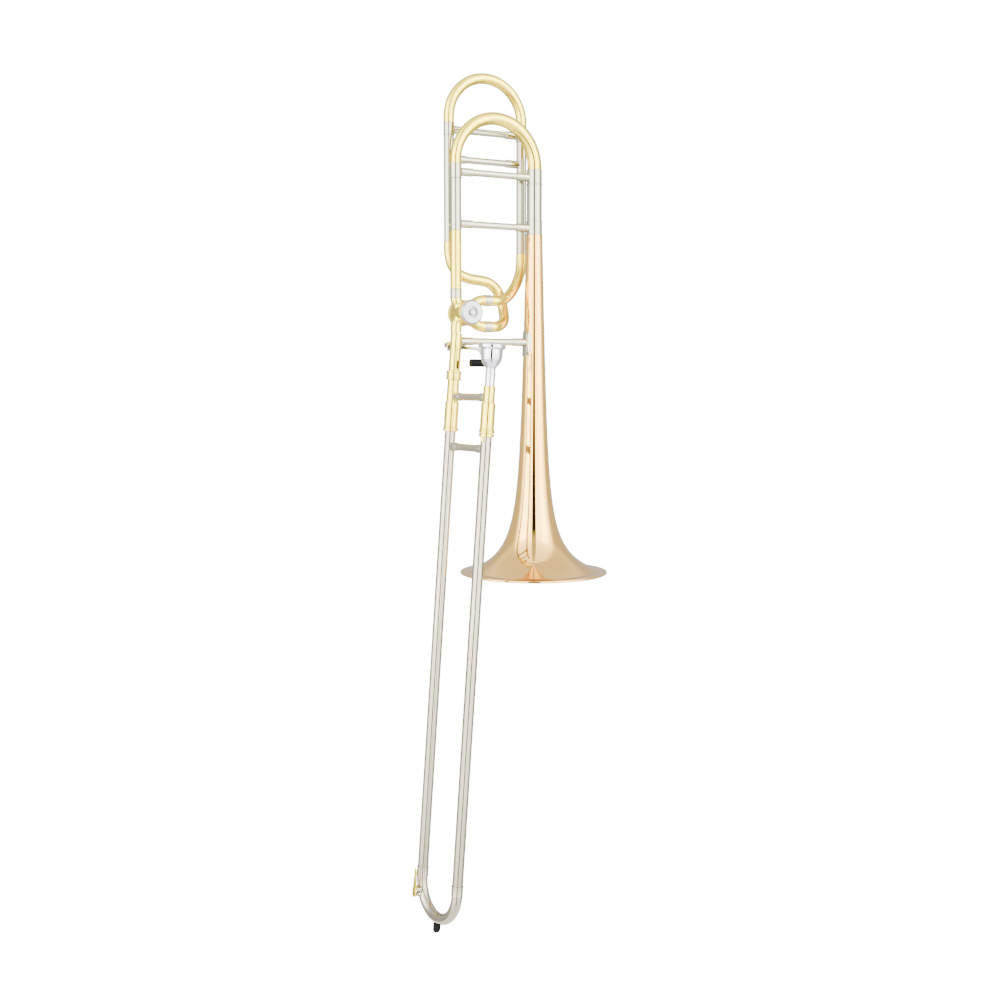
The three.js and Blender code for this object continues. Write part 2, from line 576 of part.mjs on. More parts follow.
// Braces that hold the bell section together.
function buildFixedBraces() {
  const mainBrace = seatedBrace(NECK_X, NECK_SLEEVE_D, 0, BELL_SLEEVE_D + 1, 0, FIXED_BRACE_Z);
  add("fixed_brace", "nickel_silver", mainBrace);
  const fBrace = seatedBrace(F_LEFT_X, F_TUBE_D, F_RIGHT_X, F_TUBE_D, F_SETBACK, F_FIXED_BRACE_Z);
  add("f_fixed_brace", "nickel_silver", fBrace);
  const bellSide = 2 * (bellRadius(BELL_BRACE_Z) + GAP + FLANGE_THICKNESS) + 1;
  const lower = seatedBrace(NECK_X, NECK_TUBE_D, 0, bellSide, 0, BELL_BRACE_Z + 1.5, 24);
  const seat = rod(RECEIVER_D + 2 * GAP, -RECEIVER_LENGTH, RECEIVER_TOP + 4);
  seat.applyMatrix4(slideFrame.matrixWorld);
  add("bell_brace", "nickel_silver", cut(lower, seat));
  const links = [
    { side: "left", x0: NECK_X, r0: NECK_SLEEVE_D / 2, x1: F_LEFT_X },
    { side: "right", x0: 0, r0: (BELL_SLEEVE_D + 1) / 2, x1: F_RIGHT_X },
  ];
  for (const { side, x0, r0, x1 } of links) {
    const link = alongY(rod(LINK_D, r0 / 2, F_SETBACK - F_TUBE_D / 4, 12));
    link.rotateZ(-Math.atan2(x1 - x0, F_SETBACK)).translate(x0, 0, FIXED_BRACE_Z);
    const front = at(rod(2 * (r0 + GAP), -10, 10), x0, 0, FIXED_BRACE_Z);
    const back = at(rod(F_TUBE_D + 2 * GAP, -10, 10), x1, F_SETBACK, FIXED_BRACE_Z);
    add(`f_link_${side}`, "nickel_silver", cut(link, front, back));
  }
}

// Tuning slides: each is a bow, two legs with their ferrules, and a brace.

function slideLeg(ferruleD, innerD, boreD, sleeveTop, ferruleLength, innerLength) {
  const bottom = sleeveTop + GAP;
  const top = bottom + ferruleLength;
  const outline = [
    [boreD / 2, bottom - innerLength], [innerD / 2, bottom - innerLength], [innerD / 2, bottom],
    [ferruleD / 2, bottom], [ferruleD / 2, top], [boreD / 2, top],
  ];
  return lathe(outline);
}

function buildMainTuningSlide() {
  const neckBore = NECK_INNER_D - 2 * TUBE_WALL;
  const bellBore = BELL_INNER_D - 2 * TUBE_WALL;
  const reach = BELL_SLEEVE_LENGTH + BELL_FERRULE_LENGTH - 12;
  const left = slideLeg(NECK_FERRULE_D, NECK_INNER_D, neckBore, SLEEVE_TOP, BOW_FERRULE_LENGTH, reach);
  add("main_slide_leg_left", "nickel_silver", at(left, NECK_X, 0, 0));
  const bellFerruleD = BELL_SLEEVE_D + 0.4;
  const right = slideLeg(bellFerruleD, BELL_INNER_D, bellBore, SLEEVE_TOP, BOW_FERRULE_LENGTH, reach);
  add("main_slide_leg_right", "nickel_silver", right);
  const foot = BOW_BOTTOM + 2 * GAP;
  const route = bowRoute(NECK_X, 0, foot, BOW_STUB);
  const bow = bentTube(route, BOW_NECK_D, BOW_NECK_D - 2 * TUBE_WALL, 16);
  add("main_bow", "yellow_brass", widen(bow, foot + BOW_STUB, BOW_BELL_D / BOW_NECK_D));
  const brace = seatedBrace(NECK_X, NECK_FERRULE_D, 0, bellFerruleD, 0, MAIN_BRACE_Z);
  add("main_slide_brace", "nickel_silver", brace);
}

// Widens a bow's tube evenly along its half circle, from 1 at the neck leg to ratio at the bell leg.
function widen(bow, centreZ, ratio) {
  const places = bow.attributes.position;
  const point = new THREE.Vector3();
  const middle = new THREE.Vector3();
  const centreX = NECK_X / 2;
  const radius = LEG_SPACING / 2;
  for (let i = 0; i < places.count; i += 1) {
    point.fromBufferAttribute(places, i);
    const above = Math.max(0, point.z - centreZ);
    const angle = Math.atan2(above, centreX - point.x);
    const share = point.z < centreZ ? Number(point.x > centreX) : angle / Math.PI;
    const straightX = point.x > centreX ? 0 : NECK_X;
    const arc = [centreX - radius * Math.cos(angle), 0, centreZ + radius * Math.sin(angle)];
    middle.set(...(point.z < centreZ ? [straightX, 0, point.z] : arc));
    point.sub(middle).multiplyScalar(1 + (ratio - 1) * share).add(middle);
    places.setXYZ(i, point.x, point.y, point.z);
  }
  return bow;
}

function buildFTuningSlide() {
  const bore = F_INNER_D - 2 * TUBE_WALL;
  for (const [side, x] of [["left", F_LEFT_X], ["right", F_RIGHT_X]]) {
    const leg = slideLeg(F_FERRULE_D, F_INNER_D, bore, F_SLEEVE_TOP, F_FERRULE_LENGTH, F_INNER_LENGTH);
    add(`f_slide_leg_${side}`, "nickel_silver", at(leg, x, F_SETBACK, 0));
  }
  const route = bowRoute(F_LEFT_X, F_RIGHT_X, F_BOW_BOTTOM + 2 * GAP, F_BOW_STUB);
  const bow = bentTube(route, F_TUBE_D, F_TUBE_D - 2 * TUBE_WALL, 16);
  add("f_bow", "yellow_brass", at(bow, 0, F_SETBACK, 0));
  const ends = [F_LEFT_X, F_FERRULE_D, F_RIGHT_X, F_FERRULE_D];
  add("f_slide_brace", "nickel_silver", seatedBrace(...ends, F_SETBACK, F_SLIDE_BRACE_Z));
}

// F trigger. The stop arm and the lever's link arm each end beside one eye of the linkage rod.

function buildStopArm() {
  const back = STOP_ARM_Y + STOP_ARM_THICKNESS;
  const hub = alongY(tube(STOP_HUB_D, SPINDLE_D + GAP, STOP_ARM_Y + GAP, back, 24));
  const thickness = STOP_ARM_THICKNESS - GAP;
  const middleY = STOP_ARM_Y + GAP + thickness / 2;
  const start = SPINDLE_D / 2 + 1;
  const end = STOP_ARM_R + 2.5;
  const finger = box(end - start, thickness, 5, -(start + end) / 2, middleY, 0);
  const arm = join(hub, finger).rotateY(-Math.PI / 4);
  add("stop_arm", "nickel_silver", at(arm, VALVE_X, 0, VALVE_Z));
}

function buildLinkage() {
  const top = [VALVE_X - STOP_ARM_R * HALF_DIAGONAL, ROD_TOP_Y, VALVE_Z - STOP_ARM_R * HALF_DIAGONAL];
  const bottom = [LINK_X + LINK_ARM_THICKNESS / 2 + GAP + ROD_EYE_D / 2, LINK_TIP_Y, LINK_TIP_Z];
  const eyes = [top, bottom].map((p) => at(new THREE.SphereGeometry(ROD_EYE_D / 2, 8, 6), ...p));
  const shaft = bentTube(curve([top, bottom]), 2.8, 0, 1);
  add("linkage_rod", "nickel_silver", join(shaft, ...eyes));
}

function leverWire(diameter) {
  const x = LEVER_RIGHT_X - 4;
  const path = curve([
    [x, LEVER_AXIS_Y, LEVER_AXIS_Z - 1.5],
    [x, LEVER_AXIS_Y - 4, LEVER_AXIS_Z - 3.2],
    [x, LEVER_AXIS_Y - 12, LEVER_AXIS_Z - 4],
    [x + 4, LEVER_AXIS_Y - 25, LEVER_AXIS_Z - 4.5],
    [x + 11, LEVER_AXIS_Y - 37, LEVER_AXIS_Z - 7],
    [x + 13, PAD_Y, PAD_Z + 9],
    [x + 13, PAD_Y, PAD_Z],
  ]);
  return bentTube(path, diameter, 0, 14);
}

function buildThumbLever() {
  const hinge = tube(LEVER_TUBE_D, LEVER_PIN_D + 2 * GAP, LEVER_LEFT_X + GAP, LEVER_RIGHT_X - GAP, 16);
  const barrel = at(alongX(hinge), 0, LEVER_AXIS_Y, LEVER_AXIS_Z);
  const armLength = LINK_ARM + 3 - LEVER_TUBE_D / 2 + 1;
  const link = box(LINK_ARM_THICKNESS, armLength, 4.4, LINK_X, LEVER_TUBE_D / 2 - 1 + armLength / 2, 0);
  link.rotateX(-LEVER_SWING / 2).translate(0, LEVER_AXIS_Y, LEVER_AXIS_Z);
  const bore = alongX(rod(LEVER_PIN_D + 2 * GAP, LEVER_LEFT_X - 1, LEVER_RIGHT_X + 1, 16));
  const clear = at(bore, 0, LEVER_AXIS_Y, LEVER_AXIS_Z);
  const lever = cut(join(barrel, link, leverWire(LEVER_WIRE_D)), clear);
  add("thumb_lever", "nickel_silver", lever);
  const pad = at(alongX(rod(PAD_D, PAD_LEFT_X, PAD_LEFT_X + PAD_LENGTH, 16)), 0, PAD_Y, PAD_Z);
  add("thumb_pad", "black_plastic", cut(pad, leverWire(LEVER_WIRE_D + 2 * GAP)));

  const width = LEVER_RIGHT_X - LEVER_LEFT_X + 2 * LUG_THICKNESS;
  const middleX = (LEVER_LEFT_X + LEVER_RIGHT_X) / 2;
  const plateZ = LEVER_AXIS_Z + 2.4; // its lower edge stays above the lever's wire
  const plate = box(width, SADDLE_THICKNESS, 5.4, middleX, SADDLE_Y + SADDLE_THICKNESS / 2, plateZ);
  const lugDepth = LEVER_AXIS_Y + 3 - SADDLE_Y;
  const lugs = [LEVER_LEFT_X - LUG_THICKNESS / 2, LEVER_RIGHT_X + LUG_THICKNESS / 2].map((x) =>
    box(LUG_THICKNESS, lugDepth, 7, x, SADDLE_Y + lugDepth / 2, LEVER_AXIS_Z));
  const pin = alongX(rod(LEVER_PIN_D, LEVER_LEFT_X - 1, LEVER_RIGHT_X + 1, 12));
  add("lever_saddle", "nickel_silver", join(plate, ...lugs, at(pin, 0, LEVER_AXIS_Y, LEVER_AXIS_Z)));
  const coil = alongX(tube(LEVER_TUBE_D + 3, LEVER_TUBE_D + 2 * GAP, LEVER_LEFT_X + 1, LINK_X - 2, 16));
  add("lever_spring", "spring_steel", at(coil, 0, LEVER_AXIS_Y, LEVER_AXIS_Z));
}

// Slide section. Heights here are measured down the slide from its pivot, so they are negated.

const SLIDE_LEGS = [
  { side: "left", y: 0 },
  { side: "right", y: -SLIDE_SPACING },
];

function buildReceiver() {
  const bottom = RECEIVER_TOP - RECEIVER_LENGTH;
  const shell = tube(RECEIVER_D, TENON_INNER_D + 2 * GAP, bottom, RECEIVER_TOP);
  addToSlide("bell_receiver", "yellow_brass", shell);
}

function buildSlideTenon() {
  const receiverBottom = RECEIVER_TOP - RECEIVER_LENGTH;
  const nutTop = receiverBottom - GAP;
  const nutBottom = nutTop - NUT_LENGTH;
  const outline = [
    [INNER_SLIDE_D / 2 + GAP, -BARREL_TOP + GAP], [TENON_D / 2, -BARREL_TOP + GAP],
    [TENON_D / 2, nutBottom - GAP], [TENON_INNER_D / 2, nutBottom - GAP],
    [TENON_INNER_D / 2, -8], [INNER_SLIDE_D / 2 + GAP, -8],
  ];
  addToSlide("slide_tenon", "yellow_brass", lathe(outline));
  const ringR = NUT_D / 2;
  const bore = TENON_INNER_D / 2 + GAP;
  const knurl = [
    [bore, nutBottom], [ringR, nutBottom], [ringR, nutBottom + 2], [ringR - 1, nutBottom + 2.6],
    [ringR - 1, nutTop - 2.6], [ringR, nutTop - 2], [ringR, nutTop], [bore, nutTop],
  ];
  addToSlide("lock_nut", "yellow_brass", lathe(knurl));
}

function buildInnerSlide() {
  const bottom = -(CROOK_DEPTH - 24);
  for (const { side, y } of SLIDE_LEGS) {
    const shoulder = -BARREL_TOP;
    const floor = -BARREL_FLOOR;
    const end = -(BARREL_TOP + BARREL_LENGTH);
    const ringEnd = end - BARREL_RING_LENGTH;
    const wallR = BARREL_D / 2;
    const boreR = BARREL_BORE_D / 2;
    const holeR = INNER_SLIDE_D / 2 + GAP;
    const ringR = BARREL_RING_D / 2;
    const outline = [
      [boreR, ringEnd], [ringR, ringEnd], [ringR, end], [wallR, end],
      [wallR, shoulder], [holeR, shoulder], [holeR, floor], [boreR, floor],
    ];
    addToSlide(`cork_barrel_${side}`, "yellow_brass", at(lathe(outline), 0, y, 0));
    const cork = tube(OUTER_SLIDE_D, INNER_SLIDE_D + 2 * GAP, floor - CORK_LENGTH, floor - GAP);
    addToSlide(`slide_cork_${side}`, "cork", at(cork, 0, y, 0));
    const top = side === "left" ? -10 : -(LEADPIPE_TOP + MP_SHANK_LENGTH + 1);
    const inner = tube(INNER_SLIDE_D, INNER_SLIDE_D - 2 * TUBE_WALL, bottom, top);
    addToSlide(`inner_tube_${side}`, "chrome_plate", at(inner, 0, y, 0));
  }
  const leadpipe = tube(LEADPIPE_D, MP_SHANK_D + 2 * GAP, -BARREL_TOP + GAP, -LEADPIPE_TOP);
  addToSlide("leadpipe_receiver", "yellow_brass", at(leadpipe, 0, -SLIDE_SPACING, 0));
}

// A brace between the slide's legs, seated on tubes of the given diameters.
function slideBrace(depth, leftD, rightD, rodD) {
  const r = rodD / 2;
  const s = SLIDE_SOCKET_D / 2;
  const socket = 20;
  const farSocket = SLIDE_SPACING - socket;
  const outline = [
    [0, 0], [s, 0], [s, socket], [r, socket + 4],
    [r, farSocket - 4], [s, farSocket], [s, SLIDE_SPACING], [0, SLIDE_SPACING],
  ];
  const bar = at(alongY(solidLathe(outline)), 0, -SLIDE_SPACING, -depth);
  const seats = [[leftD, 0], [rightD, -SLIDE_SPACING]].map(([d, y]) =>
    at(rod(d + 2 * GAP, -depth - 20, -depth + 20), 0, y, 0));
  return cut(bar, ...seats);
}

function buildOuterSlide() {
  for (const { side, y } of SLIDE_LEGS) {
    const wall = tube(OUTER_SLIDE_D, OUTER_BORE_D, -SLIDE_FERRULE_TOP + GAP, -OUTER_TOP);
    addToSlide(`outer_tube_${side}`, "nickel_silver", at(wall, 0, y, 0));
    const ferrule = tube(CROOK_FERRULE_D, OUTER_BORE_D, -CROOK_DEPTH, -SLIDE_FERRULE_TOP);
    addToSlide(`crook_ferrule_${side}`, "nickel_silver", at(ferrule, 0, y, 0));
  }
  const route = new Route(-SLIDE_SPACING, 0, -Math.PI / 2, [[SLIDE_SPACING / 2, Math.PI]]);
  const crook = bentTube(route, CROOK_D, OUTER_BORE_D, 14).rotateZ(Math.PI / 2);
  const seat = at(alongX(rod(NIPPLE_D + 2 * GAP, -40, 0, 12)), 0, KEY_Y, KEY_Z);
  const crookPlaced = at(crook, 0, 0, -CROOK_DEPTH - GAP);
  addToSlide("crook", "nickel_silver", cut(crookPlaced, seat));
  const handBrace = slideBrace(HAND_BRACE_DEPTH, OUTER_SLIDE_D, OUTER_SLIDE_D, SLIDE_ROD_D);
  addToSlide("hand_brace", "satin_nickel", handBrace);
  const bumperTop = -(CROOK_DEPTH + GAP + SLIDE_SPACING / 2 + CROOK_D / 2 + GAP);
  const tip = bumperTop - BUMPER_LENGTH;
  const r = BUMPER_D / 2;
  const bumper = [
    [0, tip], [r - 1.4, tip], [r - 1.2, tip + 1.6], [r, tip + 2], [r, bumperTop], [0, bumperTop],
  ];
  addToSlide("bumper", "black_rubber", at(solidLathe(bumper), 0, -SLIDE_SPACING / 2, 0));
}

// Water key on the crook's -X side. The lever turns on a pin between two lugs and holds a cork
// against the nipple that drains the crook.
function buildWaterKey() {
  const nippleEnd = -(CROOK_D / 2 + NIPPLE_REACH);
  const pinX = nippleEnd - 1;
  const pinZ = KEY_Z + KEY_PIN_RISE;
  const spout = alongX(tube(NIPPLE_D, NIPPLE_BORE, nippleEnd, -OUTER_BORE_D / 2 - GAP, 12));
  const nipple = at(spout, 0, KEY_Y, KEY_Z);
  const lugLength = -OUTER_SLIDE_D / 2 - pinX + 1;
  const lugs = [-1, 1].map((side) => {
    const y = KEY_Y + side * (KEY_WIDTH / 2 + GAP + LUG_THICKNESS / 2);
    return box(lugLength, LUG_THICKNESS, 5, pinX - 1.6 + lugLength / 2, y, pinZ);
  });
  const span = KEY_WIDTH + 2 * GAP + LUG_THICKNESS;
  const pin = at(alongY(rod(KEY_PIN_D, -span / 2, span / 2, 12)), pinX, KEY_Y, pinZ);
  const bridge = box(1.6, span + LUG_THICKNESS, 8, -CROOK_D / 2 - 1.4, KEY_Y, pinZ - 1.5);
  const collar = alongX(rod(NIPPLE_D + 3, -CROOK_D / 2 - 2.2, -CROOK_D / 2 - 0.4, 12));
  const base = at(collar, 0, KEY_Y, KEY_Z);
  const solids = join(nipple, ...lugs, pin, bridge, base);
  const bore = at(alongX(rod(NIPPLE_BORE, -40, 0, 12)), 0, KEY_Y, KEY_Z);
  const room = at(rod(CROOK_D + 2 * GAP, -60, 60), 0, 0, -CROOK_DEPTH);
  addToSlide("water_key_saddle", "nickel_silver", cut(solids, bore, room));

  const corkThickness = 2.4;
  const padX = nippleEnd - GAP;
  const cork = at(alongX(rod(NIPPLE_D + 1.6, padX - corkThickness, padX, 12)), 0, KEY_Y, KEY_Z);
  addToSlide("water_key_cork", "cork", cork);
  const cupX = padX - corkThickness - GAP;
  const cup = at(alongX(rod(NIPPLE_D + 2.6, cupX - 1.8, cupX, 12)), 0, KEY_Y, KEY_Z);
  const barrel = at(alongY(rod(KEY_PIN_D + 3, -KEY_WIDTH / 2, KEY_WIDTH / 2, 12)), pinX, KEY_Y, pinZ);
  const stem = box(1.8, KEY_WIDTH, pinZ - KEY_Z + 3, cupX - 0.9, KEY_Y, (pinZ + KEY_Z) / 2 + 0.5);
  const outline = new THREE.Shape();
  outline.moveTo(-KEY_WIDTH / 2, 0);
  outline.lineTo(KEY_WIDTH / 2, 0);
  outline.lineTo(1.6, KEY_LENGTH);
  outline.absarc(0, KEY_LENGTH, 1.6, 0, Math.PI, false);
  const flat = { depth: 1.6, curveSegments: 6, bevelEnabled: false };
  const blade = new THREE.ExtrudeGeometry(outline, flat);
  blade.rotateX(Math.PI / 2).rotateZ(Math.PI / 2).translate(pinX - 1.6, KEY_Y, pinZ);
  const clear = at(alongY(rod(KEY_PIN_D + 2 * GAP, -20, 20, 12)), pinX, KEY_Y, pinZ);
  addToSlide("water_key", "yellow_brass", cut(join(cup, barrel, stem, blade), clear));
}

// Mouthpiece: outline from the shank's end up the outside, over the rim and down the cup and bore.
function buildMouthpiece() {
  const top = -LEADPIPE_TOP + MP_TOP;
  const end = -LEADPIPE_TOP - MP_SHANK_LENGTH;
  const rim = MP_RIM_D / 2;
  const cup = MP_CUP_D / 2;
  const outline = [
    [MP_SHANK_D / 2 - 1.6, end], [MP_SHANK_D / 2 - 0.9, end], [MP_SHANK_D / 2, -LEADPIPE_TOP],
    [7.2, top - 43], [6.7, top - 38], [6.6, top - 34], [7.4, top - 32], [10, top - 29.4],
    [12.6, top - 26], [14.4, top - 21.5], [15.3, top - 16], [15.4, top - 7.4], [rim - 0.8, top - 6.8],
    [rim, top - 5], [rim, top - 2.6], [rim - 1.4, top - 0.6], [rim - 3.4, top],
    [cup + 1, top - 0.6], [cup, top - 2], [cup - 1.4, top - 10], [cup - 4.4, top - 17],
    [4.6, top - 23], [3.3, top - 27], [3.3, top - 33],
  ];
  addToSlide("mouthpiece", "silver_plate", at(lathe(outline), 0, -SLIDE_SPACING, 0));
}

// Slide lock: a ring under the right barrel whose hook catches a stud on the outer tube.
function buildSlideLock() {
  const top = -(BARREL_TOP + BARREL_LENGTH + BARREL_RING_LENGTH + GAP);
  const bottom = top - LOCK_RING_LENGTH;
  const ring = tube(BARREL_RING_D - 1, OUTER_SLIDE_D + 1.4, bottom, top);
  const outside = (BARREL_RING_D - 1) / 2;
  const hookX = -(OUTER_SLIDE_D / 2 + 1);
  const hook = box(outside + hookX + 1.4, 5, 8, -(outside - hookX) / 2 - 0.2, 0, bottom - 3);
  const lock = join(ring, hook).rotateZ(LOCK_ANGLE);
  addToSlide("slide_lock_ring", "yellow_brass", at(lock, 0, -SLIDE_SPACING, 0));
}

function buildUpperSlideBrace() {
  const brace = slideBrace(UPPER_BRACE_DEPTH, TENON_D, LEADPIPE_D, SLIDE_ROD_D);
  addToSlide("upper_slide_brace", "satin_nickel", brace);
}

buildBell();
buildBellFlange();
buildNeckLeg();
buildValve();
buildRotor();
buildFTubing();
buildFixedBraces();
buildMainTuningSlide();
buildFTuningSlide();
buildStopArm();
buildLinkage();
buildThumbLever();
buildReceiver();
buildSlideTenon();
buildInnerSlide();
buildUpperSlideBrace();
buildOuterSlide();
buildWaterKey();
buildSlideLock();
buildMouthpiece();

export default trombone;
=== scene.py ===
import math

import bmesh
import bpy
from mathutils import Matrix, Vector


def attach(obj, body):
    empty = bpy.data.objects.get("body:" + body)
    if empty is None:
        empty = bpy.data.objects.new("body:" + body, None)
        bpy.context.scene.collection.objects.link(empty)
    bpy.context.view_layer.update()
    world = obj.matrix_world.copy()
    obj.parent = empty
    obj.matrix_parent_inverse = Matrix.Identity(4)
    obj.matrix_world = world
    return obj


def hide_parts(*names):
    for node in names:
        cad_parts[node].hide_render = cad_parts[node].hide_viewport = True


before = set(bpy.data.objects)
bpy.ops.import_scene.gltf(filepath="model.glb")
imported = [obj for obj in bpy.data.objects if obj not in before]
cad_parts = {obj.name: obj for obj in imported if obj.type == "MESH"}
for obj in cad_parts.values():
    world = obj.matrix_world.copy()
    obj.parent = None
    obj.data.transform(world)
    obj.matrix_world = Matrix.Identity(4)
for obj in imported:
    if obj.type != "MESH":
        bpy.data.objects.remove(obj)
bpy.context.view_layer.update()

# Lengths are in millimetres until a piece is made, in the CAD part's own frame: the origin is the
# centre of the bell's mouth, +Z runs up the bell and the slide hangs on the -X side.

BELL_RIM_R = 108
BELL_WALL = 0.6
BELL_STEM_TOP = 490
BELL_STEM_R = 11.2
BELL_TAPER = 9.5
BELL_FLARE_LENGTH = 54.5
BELL_FLARE_POWER = 2.08
BELL_SLEEVE_R = 11.1
BELL_FERRULE_R = 11.4
BELL_LEG_BORE_R = 9.9
BELL_FERRULE_TOP = 509.7
SLEEVE_TOP = 561.7
NECK_X = -125
NECK_R = 7.9
NECK_BORE_R = 7
NECK_SLEEVE_R = 8.1
NECK_FOOT = 349
BOW_FOOT = 582.8
BOW_STUB = 3.6
F_Y = 31.4
F_LEFT_X = -120.5
F_RIGHT_X = -4.5
F_R = 7.6
F_SLEEVE_TOP = 626.3
F_UPPER_LOOP_TOP = 466.0
F_LOWER_LOOP_TOP = 477.5
F_PORT_BEND_R = 24
VALVE_X = -110
VALVE_Z = 376.5
ROTOR_R = 16.2
CASING_R = 18.5
CASING_HALF = 18.5
UPPER_BRACE_Z = 500
BELL_BRACE_Z = 337
FLANGE_THICKNESS = 1.2
MAIN_LEFT_R = 8.6
MAIN_RIGHT_R = 11.3
F_SLIDE_R = 8
SLIDE_SPACING = 90
INNER_TUBE_R = 7
INNER_TUBE_FOOT = -745
OUTER_TUBE_R = 7.7
OUTER_BORE_R = 7.3
CROOK_DEPTH = 769
DIAGONAL = math.sqrt(0.5)
STRAIGHT = math.radians(172)

SLIDE = (
    Matrix.Translation((NECK_X, 0, 340))
    @ Matrix.Rotation(math.radians(4.18), 4, "Y")
    @ Matrix.Rotation(math.radians(7.85), 4, "Z")
)


# Outlines and shapes. A shape is (vertices, faces).


def rounded(outline, radius=0.35, closed=True):
    """The outline with each corner rounded, by less where its sides are short."""
    steps = 3
    points = [Vector((r, z)) for r, z in outline]
    count = len(points)
    result = []
    for i, p in enumerate(points):
        if not closed and i in (0, count - 1):
            result.append(p)
            continue
        back = points[i - 1] - p
        ahead = points[(i + 1) % count] - p
        bend = back.angle(ahead, math.pi)
        if bend > STRAIGHT or min(back.length, ahead.length) < 1e-4:
            result.append(p)
            continue
        trim = min(radius / math.tan(bend / 2), 0.4 * back.length, 0.4 * ahead.length)
        a = p + back.normalized() * trim
        b = p + ahead.normalized() * trim
        for k in range(steps + 1):
            t = k / steps
            result.append(a * (1 - t) ** 2 + p * 2 * t * (1 - t) + b * t**2)
    return [(max(v.x, 0), v.y) for v in result]


def turned(outline, closed=True, sides=64):
    """The outline of (radius, height) turned about Z."""
    verts, rings = [], []
    for r, z in outline:
        if r < 1e-5:
            rings.append([len(verts)] * sides)
            verts.append(Vector((0, 0, z)))
            continue
        rings.append([len(verts) + k for k in range(sides)])
        for k in range(sides):
            a = 2 * math.pi * k / sides
            verts.append(Vector((r * math.cos(a), r * math.sin(a), z)))
    faces = []
    for i in range(len(rings) if closed else len(rings) - 1):
        one, two = rings[i], rings[(i + 1) % len(rings)]
        for k in range(sides):
            n = (k + 1) % sides
            corners = [one[k], one[n], two[n], two[k]]
            face = [c for j, c in enumerate(corners) if c != corners[j - 1]]
            if len(face) > 2:
                faces.append(face)
    return verts, faces


def solid(outline, edge, sides=64):
    """A turned shape without a bore: its outline starts and ends on the axis."""
    return turned(rounded(outline, edge, closed=False), closed=False, sides=sides)


def pipe(outer, bore, bottom, top, edge=0.3, sides=64):
    outline = [(bore, bottom), (outer, bottom), (outer, top), (bore, top)]
    return turned(rounded(outline, edge), sides=sides)


def post(radius, bottom, top, edge=0.3):
    return solid([(0, bottom), (radius, bottom), (radius, top), (0, top)], edge, sides=48)


def banded(radius, bore, bottom, top, band, band_radius, at_bottom=True):
    """A tube with a raised band at its top, and at its bottom where asked."""
    step = band_radius - radius
    outline = [(bore, bottom)]
    if at_bottom:
        outline += [(band_radius, bottom), (band_radius, bottom + band)]
        outline.append((radius, bottom + band + step))
    else:
        outline.append((radius, bottom))
    outline += [(radius, top - band - step), (band_radius, top - band), (band_radius, top)]
    outline.append((bore, top))
    return turned(rounded(outline, 0.25))


def swept(points, radius, sides=40):
    """A round bar along the points. radius is a number or one per point."""
    places = [Vector(p) for p in points]
    count = len(places)
    radii = radius if isinstance(radius, list) else [radius] * count
    side = None
    verts, faces = [], []
    for i, p in enumerate(places):
        along = (places[min(i + 1, count - 1)] - places[max(i - 1, 0)]).normalized()
        side = along.orthogonal() if side is None else side - along * side.dot(along)
        side.normalize()
        across = along.cross(side)
        for k in range(sides):
            a = 2 * math.pi * k / sides
            verts.append(p + (side * math.cos(a) + across * math.sin(a)) * radii[i])
    for i in range(count - 1):
        for k in range(sides):
            n = (k + 1) % sides
            a, b = i * sides, (i + 1) * sides
            faces.append([a + k, a + n, b + n, b + k])
    faces.append(list(range(sides))[::-1])
    faces.append([(count - 1) * sides + k for k in range(sides)])
    return verts, faces


def smooth_curve(points):
    """A centripetal curve through the points."""
    per_span = 10
    p = [Vector(q) for q in points]
    p = [2 * p[0] - p[1], *p, 2 * p[-1] - p[-2]]
    result = []
    for i in range(1, len(p) - 2):
        a, b, c, d = p[i - 1 : i + 3]
        d0, d1, d2 = (math.sqrt(span.length) for span in (b - a, c - b, d - c))
        m1 = ((b - a) / d0 - (c - a) / (d0 + d1) + (c - b) / d1) * d1
        m2 = ((c - b) / d1 - (d - b) / (d1 + d2) + (d - c) / d2) * d1
        for k in range(per_span + (i == len(p) - 3)):
            t = k / per_span
            result.append(
                b * (2 * t**3 - 3 * t**2 + 1) + m1 * (t**3 - 2 * t**2 + t)
                + c * (3 * t**2 - 2 * t**3) + m2 * (t**3 - t**2)
            )
    return result


def walked(x, z, heading, moves):
    """Points in the XZ plane along straight moves (length, 0) and arcs (radius, turn)."""
    step = 0.8
    points = [Vector((x, 0, z))]
    for size, turn in moves:
        length = size * abs(turn) if turn else size
        count = max(2, round(length / step))
        for _ in range(count):
            half = turn / count / 2
            chord = 2 * size * math.sin(abs(half)) if turn else size / count
            heading += half
            points.append(points[-1] + Vector((math.cos(heading), 0, math.sin(heading))) * chord)
            heading += half
    return points


def bevelled(bm, edge, segments, centre=(0, 0, 0)):
    """The mesh as a shape with rounded edges, moved to its centre. The mesh is used up."""
    bmesh.ops.bevel(
        bm, geom=bm.edges[:], offset=edge, segments=segments, profile=0.5, affect="EDGES"
    )
    bmesh.ops.translate(bm, vec=centre, verts=bm.verts)
    bm.verts.index_update()
    shape = [v.co.copy() for v in bm.verts], [[v.index for v in f.verts] for f in bm.faces]
    bm.free()
    return shape


def block(size, centre, edge):
    bm = bmesh.new()
    bmesh.ops.create_cube(bm, size=1)
    bmesh.ops.scale(bm, vec=size, verts=bm.verts)
    return bevelled(bm, edge, 3, centre)


def ball(radius, centre=(0, 0, 0), squash=1.0):
    """A ball, flattened along its axis by squash."""
    count = 16
    outline = [
        (radius * math.sin(math.pi * k / count), -radius * squash * math.cos(math.pi * k / count))
        for k in range(count + 1)
    ]
    return moved(turned(outline, closed=False, sides=32), Matrix.Translation(centre))


def moved(shape, matrix):
    return [matrix @ v for v in shape[0]], shape[1]


def shifted(shape, x, y, z):
    return moved(shape, Matrix.Translation((x, y, z)))


